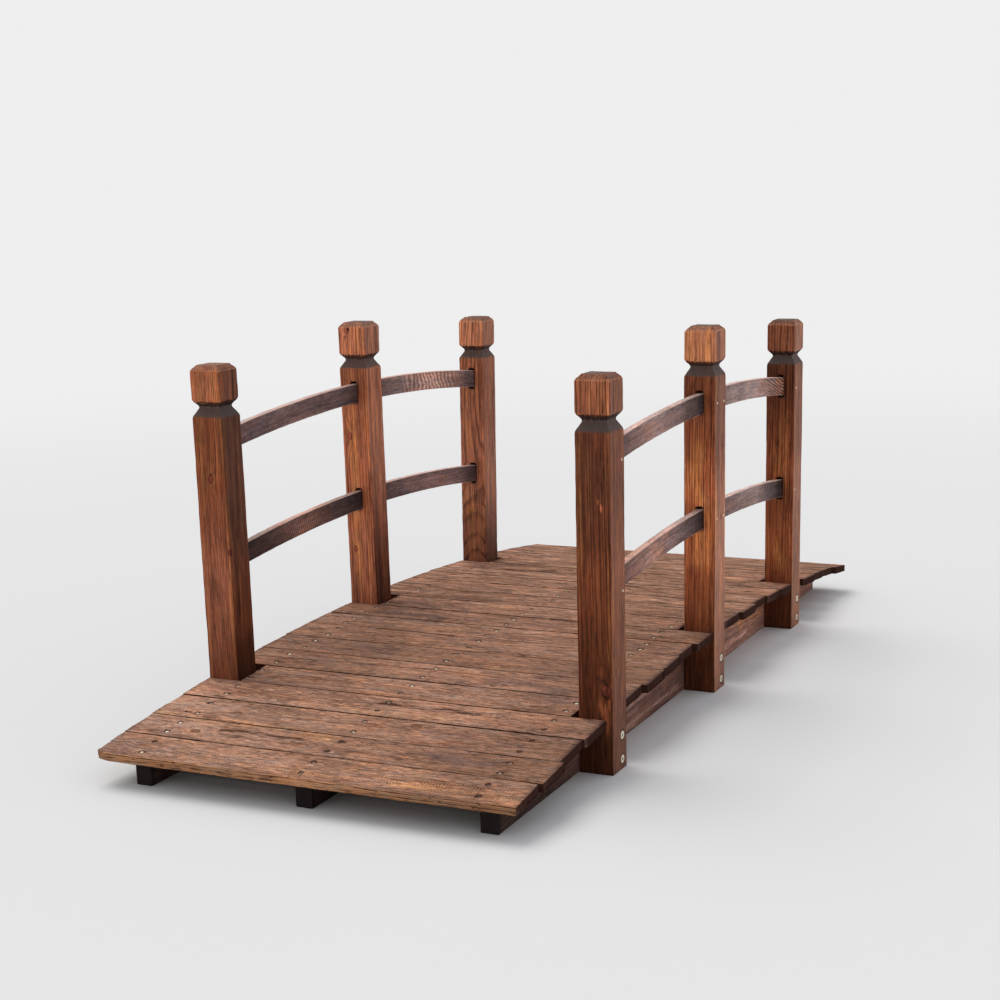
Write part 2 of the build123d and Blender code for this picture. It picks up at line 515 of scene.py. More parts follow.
postFinish = {
    "early": (0.385, 0.105, 0.042), "late": (0.05, 0.012, 0.007), "warm": (0.56, 0.21, 0.065),
    "warmStreak": 0.3, "bleach": (0.34, 0.147, 0.094), "bleachLate": (0.17, 0.066, 0.042),
    "bleachRings": 0.5, "waver": 0.5, "lineWidth": 0.55, "fibreScale": (1, 1, 1), "coarse": 0.14,
    "middle": 0.24, "fine": 0.32, "mottle": 0.12, "hue": 0.8, "pores": 0, "sawSpacing": 0.0032,
    "sawSlant": 0.06, "sawTone": 0.16, "sawHeight": 0.08, "nicks": 0, "scorch": -0.1, "scorchAndShadeMix": 0.92,
    "charAndShade": (0.016, 0.01, 0.008), "stain": (0.095, 0.074, 0.068), "wear": 0.2, "wearMix": 0.6,
    "worn": (0.55, 0.25, 0.14), "wearScale": (1, 1, 1), "knotDark": (0.06, 0.014, 0.008),
    "knotPale": (0.29, 0.072, 0.04), "dust": 0.45, "dustColour": (0.25, 0.17, 0.14), "rough": 0.5,
    "sheen": 0.1, "ringHeight": -0.25, "hairHeight": 0.2,
}
deckFinish = {
    "early": (0.42, 0.213, 0.135), "late": (0.235, 0.112, 0.074), "warm": (0.62, 0.305, 0.15),
    "warmStreak": 0.1, "bleach": (0.46, 0.27, 0.195), "bleachLate": (0.27, 0.135, 0.09), "bleachRings": 0.8,
    "waver": 1.2, "lineWidth": 0.6, "fibreScale": (2.4, 0.9, 0.9), "coarse": 0.12, "middle": 0.24,
    "fine": 0.46, "mottle": 0.24, "hue": 1.3, "pores": 0.15, "sawSpacing": 0.0046, "sawSlant": -0.15,
    "sawTone": 0.34, "sawHeight": 0.25, "nicks": 0.35, "scorch": -0.02, "scorchAndShadeMix": 0.85,
    "charAndShade": (0.055, 0.02, 0.013), "stain": (0.125, 0.082, 0.092), "wear": 0.08, "wearMix": 0.85,
    "worn": (0.72, 0.45, 0.3), "wearScale": (3, 1.6, 1.6), "knotDark": (0.05, 0.022, 0.015),
    "knotPale": (0.22, 0.1, 0.055), "dust": 0.2, "dustColour": (0.5, 0.3, 0.21), "rough": 0.75,
    "sheen": 0.03, "ringHeight": 0.3, "hairHeight": 0.4,
}
railFinish = {
    "warmStreak": 0.08, "early": (0.222, 0.143, 0.138), "late": (0.1, 0.056, 0.054),
    "warm": (0.37, 0.165, 0.105), "bleach": (0.3, 0.215, 0.19), "bleachLate": (0.16, 0.1, 0.085),
    "bleachRings": 0.9, "waver": 0.9, "lineWidth": 0.6, "fibreScale": (1.6, 1, 1), "coarse": 0.12,
    "middle": 0.1, "fine": 0.2, "mottle": 0.2, "hue": 1, "pores": 0.05, "sawSpacing": 0.0044,
    "sawSlant": 0.7, "sawTone": 0.5, "sawHeight": 0.4, "nicks": 0.2, "scorch": -0.14, "scorchAndShadeMix": 0.8,
    "charAndShade": (0.028, 0.022, 0.023), "stain": (0.07, 0.06, 0.068), "wear": 0.28, "wearMix": 0.85,
    "worn": (0.7, 0.48, 0.4), "wearScale": (1, 1, 1), "knotDark": (0.05, 0.02, 0.014),
    "knotPale": (0.15, 0.06, 0.036), "dust": 0.35, "dustColour": (0.36, 0.255, 0.21), "rough": 0.66,
    "sheen": 0.08, "ringHeight": 0.2, "hairHeight": 0.3,
}
stringerFinish = {
    **railFinish, "early": (0.235, 0.112, 0.08), "late": (0.11, 0.048, 0.035), "bleach": (0.35, 0.2, 0.155),
    "warm": (0.4, 0.17, 0.08), "dust": 0.05, "scorch": -0.08, "sawSlant": 0.05, "wear": 0.05, "wearMix": 0.5,
}

postWood = woodMaterial("postWood", postFinish)
deckWood = woodMaterial("deckWood", deckFinish)
railWood = woodMaterial("railWood", railFinish)
stringerWood = woodMaterial("stringerWood", stringerFinish)
print("wood finishes ready")


def boxOf(node):
    low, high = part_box(node)
    return np.array(low), np.array(high)


def keyed(keys, column, value):
    return np.interp(value, [key[0] for key in keys], [key[column] for key in keys])


# how far the old posts stand out of true at their tops, sideways, and the arc of all rails
railing = {
    "lean": {"left": (0.0, 0.0018, -0.0068), "right": (0.0, 0.0, 0.0)},
    "leanFrom": 0.09, "leanHeight": 0.47, "arcRadius": 3.7,
}


def postCentre(side, place):
    low, high = boxOf(f"post_{side}_{place}")
    return (low + high) / 2


def leanOut(world, side):
    across = [postCentre(side, place)[0] for place in places]
    push = np.interp(world[:, 0], across, railing["lean"][side])
    rise = np.clip((world[:, 2] - railing["leanFrom"]) / railing["leanHeight"], 0, None)
    world[:, 1] += push * rise
    return world


screw = {
    "boardHead": 0.0025, "postHead": 0.0062, "nailHead": 0.0019, "rise": 0.0008, "inset": 0.0006,
    "steel": (0.86, 0.76, 0.6), "rust": (0.075, 0.038, 0.022), "corners": 14,
    "postHeights": (0.015, 0.050), "postOffset": 0.009, "nailReach": 0.016,
}

# posts: front and right are keys of (height, tone, bleaching) from the foot up, lines of (height, strength);
# cap is the tone, warmth and bleaching of the cap's front, then the tone and bleaching of its right side
# the tones fall towards the foot as painted shade under the deck, most on the faces that look into the
# bridge; glow strokes along an arris, 21 to 24 mm out, are painted highlights
post = {
    "pitch": 0.0022, "rowPitch": 0.005, "ease": 0.0028, "neck": 0.017, "capTop": 0.018,
    "neckRise": 0.0145, "capRise": 0.024, "capEdge": 0.069, "capHeight": 0.0765, "capRound": 0.0024,
    "slotWidth": 0.013, "slotCorner": 0.004, "slotDepth": 0.019, "railHeight": 0.032,
    "slotBelow": 0.0012, "slotAbove": 0.0035, "tenon": 0.018,
    "drop": {"upper": 0.0415, "lower": 0.2235},
    "footRows": (0, 0.0008, 0.0022), "topRows": (0, 0.0006, 0.0016), "capRows": 12,
    "turnShares": (-1.6, -1, -0.6, -0.2, 0.2, 0.6, 1, 1.6), "rowGap": 0.0009, "lineGap": 0.001,
    "looks": {
        "left_front": {
            "seed": 11, "pith": (-0.005, 0.085), "ringPitch": 0.0029, "topTone": 0.82,
            "cap": (1.34, 0.15, 0.25, 0.6, 0.45), "capLines": 1.5, "lines": ((0, 0.75),),
            "front": ((0.09, 0.6, 0.25), (0.13, 0.76, 0.3), (0.17, 0.94, 0.35), (0.21, 1.03, 0.35),
                (0.25, 1.3, 0.4), (0.29, 1, 0.25), (0.37, 0.8, 0.05), (0.41, 0.78, 0), (0.46, 0.67, 0)),
            "right": ((0.09, 0.13, 0), (0.13, 0.19, 0), (0.17, 0.44, 0.05), (0.25, 0.5, 0.25),
                (0.33, 0.44, 0.5), (0.37, 0.5, 0.5), (0.46, 0.32, 0.5)),
            "knots": ((0.389, -0.026, -0.001, 0.0055), (0.278, -0.024, -0.026, 0.0042)),
            "frontMarks": {"glow": ((100, 500, -24, 3, 0.5), (330, 480, 16, 5, 0.25),
                (380, 398, -1, 8, 0.5))},
            "rightMarks": {"glow": ((200, 480, -22, 3, 0.3),)},
        },
        "left_middle": {
            "seed": 23, "pith": (0.01, -0.1), "ringPitch": 0.0049, "topTone": 0.4,
            "cap": (1.9, 0.2, 0.4, 1.2, 0.8), "capLines": 1.6, "lines": ((0, 0.9),),
            "front": ((0.09, 0.95, 0.3), (0.13, 1.12, 0.35), (0.17, 1.32, 0.35), (0.21, 1.42, 0.35),
                (0.33, 1.6, 0.2), (0.37, 1.63, 0.25), (0.43, 1.42, 0.25), (0.47, 1.05, 0.25)),
            "right": ((0.09, 0.2, 0), (0.13, 0.26, 0), (0.17, 0.42, 0), (0.21, 0.62, 0.15),
                (0.25, 0.87, 0.3), (0.29, 1.12, 0.5), (0.33, 1.4, 0.65), (0.37, 1.48, 0.7),
                (0.46, 1.38, 0.5)),
            "knots": ((0.391, -0.026, 0.012, 0.005), (0.196, -0.026, 0.011, 0.004),
                (0.5705, -0.026, 0.0085, 0.0048)),
            "frontMarks": {"glow": ((120, 500, 2, 9, 0.35), (382, 402, 12, 8, 0.5), (190, 204, 11, 7, 0.5)),
                "burnAndShade": ((90, 300, 24, 3, 0.3), (567, 574, 8.5, 4.5, 1.1))},
            "rightMarks": {},
        },
        "left_back": {
            "seed": 37, "pith": (0.032, -0.004), "ringPitch": 0.0062, "waver": 0.0014, "topTone": 0.36,
            "cap": (1.62, 0.2, 0.6, 1.15, 0.95), "capLines": 2, "lines": ((0, 1.5), (0.25, 1.3)),
            "slope": ((0.08, 0.2, 0.28, 0.48, 0.6), (0, 0.026, 0.03, 0, -0.02), (0, 0, -0.03, -0.07, -0.09)),
            "front": ((0.09, 0.7, 0.45), (0.13, 0.74, 0.5), (0.18, 0.74, 0.5), (0.21, 1.22, 0.6),
                (0.29, 1.24, 0.55), (0.37, 1.22, 0.5), (0.46, 0.98, 0.4)),
            "right": ((0.09, 0.4, 0.6), (0.13, 0.55, 0.8), (0.21, 1.2, 1), (0.29, 1.4, 0.9),
                (0.37, 1.1, 0.7), (0.46, 0.95, 0.7)),
            "frontMarks": {"glow": ((300, 480, 12, 7, 0.35), (95, 215, -4, 17, 0.35)),
                "burnAndShade": ((120, 440, -18, 4, 0.2),)},
            "rightMarks": {"burnAndShade": ((110, 210, 5, 10, 0.2),)},
        },
        "right_front": {
            "seed": 41, "pith": (-0.03, -0.058), "ringPitch": 0.0054, "pitch": 0.0015, "rowPitch": 0.0034,
            "topTone": 0.42, "cap": (1.1, 0.05, 0.3, 0.82, 0.65), "capLines": 2.2,
            "lines": ((0.02, 0.25), (0.14, 0.5), (0.3, 0.85)),
            "front": ((0.04, 0.16, 0), (0.07, 0.28, 0), (0.11, 0.3, 0), (0.13, 0.34, 0), (0.17, 0.39, 0),
                (0.21, 0.44, 0), (0.25, 0.6, 0), (0.29, 0.62, 0), (0.33, 0.5, 0.1), (0.41, 0.46, 0.2),
                (0.46, 0.53, 0.2)),
            "right": ((0.02, 0.64, 0.8), (0.09, 0.53, 0.6), (0.13, 0.58, 0.5), (0.21, 0.67, 0.45),
                (0.25, 0.87, 0.5), (0.29, 0.95, 0.5), (0.33, 0.87, 0.55), (0.37, 0.7, 0.45),
                (0.46, 0.69, 0.45)),
            "knots": ((0.122, -0.026, -0.0165, 0.0085),),
            "frontMarks": {"glow": ((40, 112, -15, 6, 0.3), (105, 130, -14, 7, 0.2), (300, 470, 20, 4, 0.4),
                (160, 330, -21, 2.5, 0.5), (500, 540, -12, 4, 0.3)),
                "pale": ((383, 389, -7.5, 1.3, 2.5), (373, 381, -11.5, 1.3, 3.5), (115, 129, -16.5, 9, 1.3),
                (92, 116, -6, 1.4, 3), (82, 108, -9.5, 1.4, 3.6), (72, 100, -13, 1.5, 3.6),
                (58, 92, -17, 1.4, 3.8), (96, 112, -20, 1.8, 2.4), (498, 556, -24.5, 1.5, 0.9)),
                "burnAndShade": ((129, 143, -14, 9, 0.42), (134, 144, -7, 7, 0.4), (76, 108, -11.5, 1.4, 0.8),
                (66, 98, -15.5, 1.4, 0.8), (505, 556, -19.5, 0.8, 0.9), (535, 556, -17, 2.2, 0.4))},
            "rightMarks": {"burnAndShade": ((10, 110, 18, 6, 0.3), (60, 300, -6, 1.4, 0.4), (180, 470, 9, 1.6, 0.35),
                (20, 200, 14, 1.5, 0.35), (300, 470, -14, 1.5, 0.35)),
                "glow": ((230, 330, -18, 2, 0.4),)},
        },
        "right_middle": {
            "seed": 53, "pith": (-0.02, -0.1), "ringPitch": 0.0047, "topTone": 0.4,
            "cap": (1.8, 0.5, 0.6, 1.5, 0.7), "capLines": 1.3,
            "lines": ((0.04, 0.25), (0.15, 0.5), (0.32, 1.05)),
            "front": ((0.05, 0.27, 0), (0.1, 0.48, 0), (0.13, 0.66, 0), (0.17, 0.98, 0), (0.21, 1.38, 0),
                (0.25, 1.52, 0), (0.33, 1.7, 0.05), (0.37, 1.34, 0), (0.41, 1.06, 0), (0.44, 1, 0.05),
                (0.47, 0.7, 0.1)),
            "right": ((0.02, 1, 1), (0.09, 1.2, 1), (0.13, 1.26, 1), (0.21, 1.46, 1), (0.25, 1.53, 1),
                (0.29, 1.66, 1), (0.33, 1.4, 0.85), (0.37, 1.15, 0.7), (0.41, 0.96, 0.7), (0.46, 0.85, 0.8)),
            "knots": ((0.395, 0.012, -0.026, 0.003), (0.283, 0.004, -0.026, 0.0035)),
            "frontMarks": {"glow": ((205, 405, 2, 16, 0.6),),
                "burnAndShade": ((100, 200, -14, 6, 0.2), (410, 440, -4, 12, 0.15))},
            "rightMarks": {"glow": ((240, 500, -22, 3, 0.6),),
                "burnAndShade": ((255, 420, -24, 2.5, 0.4), (20, 260, -12, 1.6, 0.4), (100, 330, 4, 1.8, 0.4),
                (280, 460, 14, 1.8, 0.4), (10, 120, 16, 3, 0.4), (380, 470, -6, 2, 0.4))},
        },
        "right_back": {
            "seed": 67, "pith": (-0.01, -0.09), "ringPitch": 0.0054, "topTone": 0.26,
            "cap": (0.82, 0.05, 0.3, 1.25, 0.95), "capLines": 1.4,
            "lines": ((0.04, 0.25), (0.15, 0.5), (0.32, 0.9)),
            "front": ((0.06, 0.3, 0), (0.09, 0.6, 0), (0.14, 0.95, 0), (0.17, 0.96, 0), (0.23, 0.75, 0.05),
                (0.29, 0.9, 0), (0.33, 0.77, 0), (0.37, 0.61, 0), (0.42, 0.46, 0.1), (0.47, 0.36, 0.2)),
            "right": ((0.02, 1, 0.9), (0.13, 1.07, 0.9), (0.21, 1.15, 0.9), (0.25, 1.2, 0.95),
                (0.29, 1.12, 0.9), (0.33, 0.94, 0.85), (0.37, 0.84, 0.75), (0.41, 0.88, 0.75),
                (0.46, 0.8, 0.75)),
            "frontMarks": {"glow": ((250, 400, -4, 10, 0.5), (110, 170, 0, 14, 0.5))},
            "rightMarks": {"burnAndShade": ((120, 330, -10, 1.8, 0.4), (20, 200, 8, 1.8, 0.4), (300, 460, 2, 2, 0.4),
                (200, 420, 18, 2, 0.4))},
        },
    },
}


def railLine(x, crown, rise=0.0):
    centre = postCentre("left", "middle")[0]
    radius = railing["arcRadius"]
    return crown - radius + math.sqrt((radius + rise) ** 2 - (x - centre) ** 2)


# height of the shoulders at the middle posts, from which the rails' heights are measured down
def shoulderCrown(side):
    return boxOf(f"post_{side}_middle")[1][2] - post["capHeight"]


def makePost(side, place):
    node = f"post_{side}_{place}"
    look = post["looks"][f"{side}_{place}"]
    seed = look["seed"]
    low, high = boxOf(node)
    centre = (low + high) / 2
    half = (high[0] - low[0]) / 2
    top = high[2]
    crown = shoulderCrown(side)
    shoulder = railLine(centre[0], crown)
    neck, capFoot, capEdge = (shoulder + post[key] for key in ("neckRise", "capRise", "capEdge"))
    heights = (0, shoulder, neck, capFoot, capEdge, top)
    widths = (half, half, post["neck"], half, half, post["capTop"])
    wide, corner = post["slotWidth"] / 2, post["slotCorner"]

    pockets = []
    slots = []
    for way in railWays[place]:
        faceX = centre[0] + way * half
        ends = (faceX, faceX - way * post["tenon"])
        for drop in post["drop"].values():
            lowLine, highLine = (
                [railLine(x, crown - drop, turn * post["railHeight"] / 2) for x in ends] for turn in (-1, 1)
            )
            slotLow, slotHigh = min(lowLine) - post["slotBelow"], max(highLine) + post["slotAbove"]
            pockets.append({"way": way, "face": way * half, "low": (slotLow, -wide), "high": (slotHigh, wide),
                "corner": corner, "depth": post["slotDepth"]})
            slots.append((way, slotLow, slotHigh))

    rowPitch = look.get("rowPitch", post["rowPitch"])
    turn = post["capRound"]
    rows = list(np.arange(rowPitch, shoulder - rowPitch / 2, rowPitch)) + list(post["footRows"])
    for mark in (shoulder, neck, capFoot, capEdge):
        rows += [mark + share * turn for share in post["turnShares"]]
    rows += list(np.linspace(capFoot, capEdge, post["capRows"])[1:-1]) + [shoulder + post["neckRise"] / 2]
    rows += [top - step for step in post["topRows"]]
    for way, slotLow, slotHigh in slots:
        fine = [slotLow + corner * share for share in (0, 0.3, 0.7)]
        fine += [slotHigh - corner * share for share in (0.7, 0.3, 0)]
        rows = [row for row in rows if min(abs(row - line) for line in fine) > post["rowGap"]] + fine
    rows = np.array(sorted(set(np.round(rows, 6))))
    bLines = easedSteps(half, look.get("pitch", post["pitch"]), post["ease"])
    cLines = [line for line in bLines if abs(abs(line) - wide) > post["lineGap"]]
    cLines = np.array(sorted(cLines + [wide, -wide, wide - 0.3 * corner, 0.3 * corner - wide]))
    points, quads = latticeBox(rows, bLines, cLines)
    height = points[:, 0].copy()
    boxLow = np.array([0.0, -half, -half])
    boxHigh = np.array([top, half, half])
    chip = valueNoise(triples(height * 60, np.sign(points[:, 1]), np.sign(points[:, 2])), seed)
    radius = post["ease"] * (0.75 + 0.25 * chip) + 0.0016 * smoothStep(neck, capFoot, height)
    points[:, 1:] = easeEdges(points, boxLow, boxHigh, radius)[:, 1:]
    soft = np.zeros(len(points))
    for shift in (-1, -0.5, 0, 0.5, 1):
        soft += np.interp(np.clip(height + shift * turn, 0, top), heights, widths) / 5
    points[:, 1:] *= (soft / half)[:, None]

    def fieldsAt(local, normals, rings, knot):
        height, across, depth = local.T
        facing = np.abs(normals[:, 1:])
        frontShare = facing[:, 0] ** 4 / np.maximum((facing**4).sum(1), 1e-9)
        tone, bleach = (
            between(keyed(look["right"], column, height), keyed(look["front"], column, height), frontShare)
            for column in (1, 2)
        )
        back = (normals[:, 1] > 0.5) | (normals[:, 2] > 0.5)
        tone = np.where(back, 0.5 * tone + 0.4, tone)
        onFront = strokes(height, depth, look["frontMarks"], seed + 11)
        onRight = strokes(height, across, look["rightMarks"], seed + 13)
        frontSeen = frontShare * (normals[:, 1] < 0.3)
        rightSeen = (1 - frontShare) * (normals[:, 2] < 0.3)
        # glow strokes along an arris are painted highlights; the others are orange streaks in the wood
        glow, burnAndShade = (onFront[kind] * frontSeen + onRight[kind] * rightSeen for kind in ("glow", "burnAndShade"))
        cap = smoothStep(neck, capFoot, height)
        capTone, capWarm, capPale, capRight, capBleach = look["cap"]
        top = smoothStep(0.5, 0.95, normals[:, 0])
        tone = between(between(tone, between(capRight, capTone, frontShare), cap), look["topTone"], top)
        bleach = np.maximum(between(bleach, between(capBleach, capPale, frontShare), cap), top)
        tone *= 1 + 0.1 * valueNoise(local, seed + 5, (9, 60, 60))
        tone *= 1 + onFront["pale"] * frontSeen

        # slots darkened inside and round their rims as painted shade, a grey neck, and painted shade under
        # the cap
        inSlot = np.zeros(len(local), bool)
        rim = np.zeros(len(local))
        for way, slotLow, slotHigh in slots:
            deep = (across * way < half - 0.001) & (across * way > half - post["slotDepth"] - 0.001)
            spare = 0.0005
            inside = (np.abs(depth) < wide + spare) & (height > slotLow - spare) & (height < slotHigh + spare)
            inSlot |= deep & inside
            outX = np.maximum(np.abs(depth) - wide, 0)
            outZ = np.maximum(np.maximum(slotLow - height, height - slotHigh), 0)
            near = np.exp(-((np.hypot(outX, outZ) / 0.003) ** 2))
            rim = np.maximum(rim, near * (normals[:, 1] * way > 0.3))
        inSlot &= height < shoulder
        grey = smoothStep(shoulder - 0.0015, shoulder + 0.0025, height) * smoothStep(capFoot, neck, height)
        under = smoothStep(neck - 0.003, neck + 0.003, height)
        under *= smoothStep(capFoot + 0.002, capFoot - 0.003, height)

        # painted shade round the foot, and dark round the post screws
        foot = smoothStep(0.012, 0.0, height)
        outer = normals[:, 2] * (-1 if side == "right" else 1) > 0.5
        for screwHeight in screw["postHeights"]:
            gap = np.hypot(height - screwHeight, across - screw["postOffset"])
            foot = np.maximum(foot, 2.4 * smoothStep(0.0098, 0.0062, gap) * outer)
        # the scorch channel also takes the painted shade under the cap, at the foot and in and round the
        # slots
        burnAndShade = np.clip(burnAndShade + 0.75 * under + 0.5 * foot + 1.2 * inSlot + 0.5 * rim, 0, 1.3)

        part = rings - np.floor(rings)
        groove = np.minimum(smoothStep(0.3, 0.8, part), smoothStep(1.0, 0.92, part))
        relief = -0.00018 * groove - 0.00022 * (1 + valueNoise(local, seed + 9, (14, 50, 50)))
        relief -= 0.0004 * smoothStep(0.0, 0.4, knot)
        relief *= ~inSlot
        edge = arrisMask(local, boxLow, boxHigh, 0.0025) * (1 - grey)
        capRim = np.exp(-(((height - capEdge) / 0.0022) ** 2))
        capRim = capRim + 0.6 * np.exp(-(((height - capFoot - 0.001) / 0.002) ** 2))
        edge = np.clip(0.8 * edge + capRim * (1 - top), 0, 1)
        warm = np.clip(glow + capWarm * cap * frontShare, 0, 1) * (1 - top)
        lines = between(keyed(look["lines"], 1, height), look["capLines"], cap) + 0.5 * top
        return {"relief": relief, "lines": lines, "look": triples(tone, warm, np.clip(bleach, 0, 1)),
            "mark": triples(burnAndShade, 0.85 * grey, 0.4), "edge": edge}

    def toWorld(local):
        world = triples(local[:, 1] + centre[0], local[:, 2] + centre[1], local[:, 0])
        return leanOut(world, side)

    wood = {"wander": 0.006, "waver": 0.0006, **look}
    woodPiece(f"{node}_worn", node, (points, quads), toWorld, wood, fieldsAt, postWood, pockets)


for side in sides:
    for place in places:
        makePost(side, place)
print("posts made")


# rails: boards sawn to the arc, with keys of (place along the bridge, tone, warmth, bleaching);
# waves are bands of grain across the rail, and their swing is how far they stray from even
rail = {
    "pitch": 0.0022, "rowPitch": 0.0045, "wavePitch": 0.0012, "thickPitch": 0.0028, "ease": 0.0018,
    "height": 0.032, "endPlay": 0.0004, "sawPitch": 0.0036,
    "wood": {"pith": (0.03, 0.02), "wander": 0.012, "waver": 0.001, "ringPitch": 0.0034},
    "looks": {
        "upper_left_front": {
            "seed": 101,
            "keys": ((-0.41, 0.85, 0, 0), (-0.36, 1, 0.05, 0), (-0.24, 1.3, 0, 0), (-0.1, 0.85, 0, 0),
                (-0.05, 0.5, 0, 0)),
        },
        "upper_left_back": {
            "seed": 103,
            "waves": {"start": 0.11, "rise": 0.04, "end": 0.34, "spacing": 0.0135, "lean": 0.3,
                "strength": 1.1, "swing": 4},
            "keys": ((0.03, 0.85, 0, 0.1), (0.1, 1.4, 0.05, 0.3), (0.18, 2, 0.15, 0.5),
                (0.25, 2.5, 0.25, 0.5), (0.32, 1.7, 0.15, 0.3), (0.38, 0.75, 0, 0.1)),
        },
        "lower_left_front": {
            "seed": 107,
            "waves": {"start": -0.33, "rise": 0.05, "end": -0.13, "spacing": 0.0056, "lean": 0.3,
                "strength": 1, "swing": 3},
            "keys": ((-0.41, 0.24, 0, 0), (-0.35, 0.36, 0.05, 0), (-0.24, 0.95, 0.45, 0), (-0.1, 0.55, 0, 0),
                (-0.05, 0.28, 0, 0)),
        },
        "lower_left_back": {
            "seed": 109,
            "keys": ((0.03, 0.6, 0, 0), (0.12, 1.1, 0, 0), (0.25, 1.65, 0.1, 0), (0.33, 1.3, 0.05, 0),
                (0.38, 0.55, 0, 0)),
        },
        "upper_right_front": {
            "seed": 113,
            "keys": ((-0.41, 0.68, 0.2, 0.1), (-0.36, 0.92, 0.2, 0.1), (-0.24, 1.9, 0.2, 0.2),
                (-0.1, 0.72, 0.1, 0.1), (-0.05, 0.34, 0, 0)),
        },
        "upper_right_back": {
            "seed": 127, "pith": (0.004, 0.1), "ringPitch": 0.0048,
            "waves": {"start": 0.24, "rise": 0.14, "end": 0.44, "spacing": 0.0052, "lean": 5, "strength": 2,
                "swing": 2.4},
            "keys": ((0.03, 1.15, 0, 0.3), (0.12, 1.7, 0, 0.4), (0.25, 2.15, 0.05, 0.4),
                (0.33, 1.25, 0.25, 0.2), (0.38, 0.95, 0.85, 0)),
        },
        "lower_right_front": {
            "seed": 131,
            "keys": ((-0.41, 0.74, 0.45, 0), (-0.36, 1.02, 0.55, 0), (-0.24, 1.8, 0.45, 0.1),
                (-0.1, 0.66, 0.1, 0), (-0.05, 0.26, 0, 0)),
        },
        "lower_right_back": {
            "seed": 137,
            "keys": ((0.03, 0.9, 0.1, 0.2), (0.12, 1.35, 0.1, 0.4), (0.25, 1.8, 0, 0.3), (0.33, 0.7, 0, 0.1),
                (0.38, 0.22, 0, 0)),
        },
    },
}


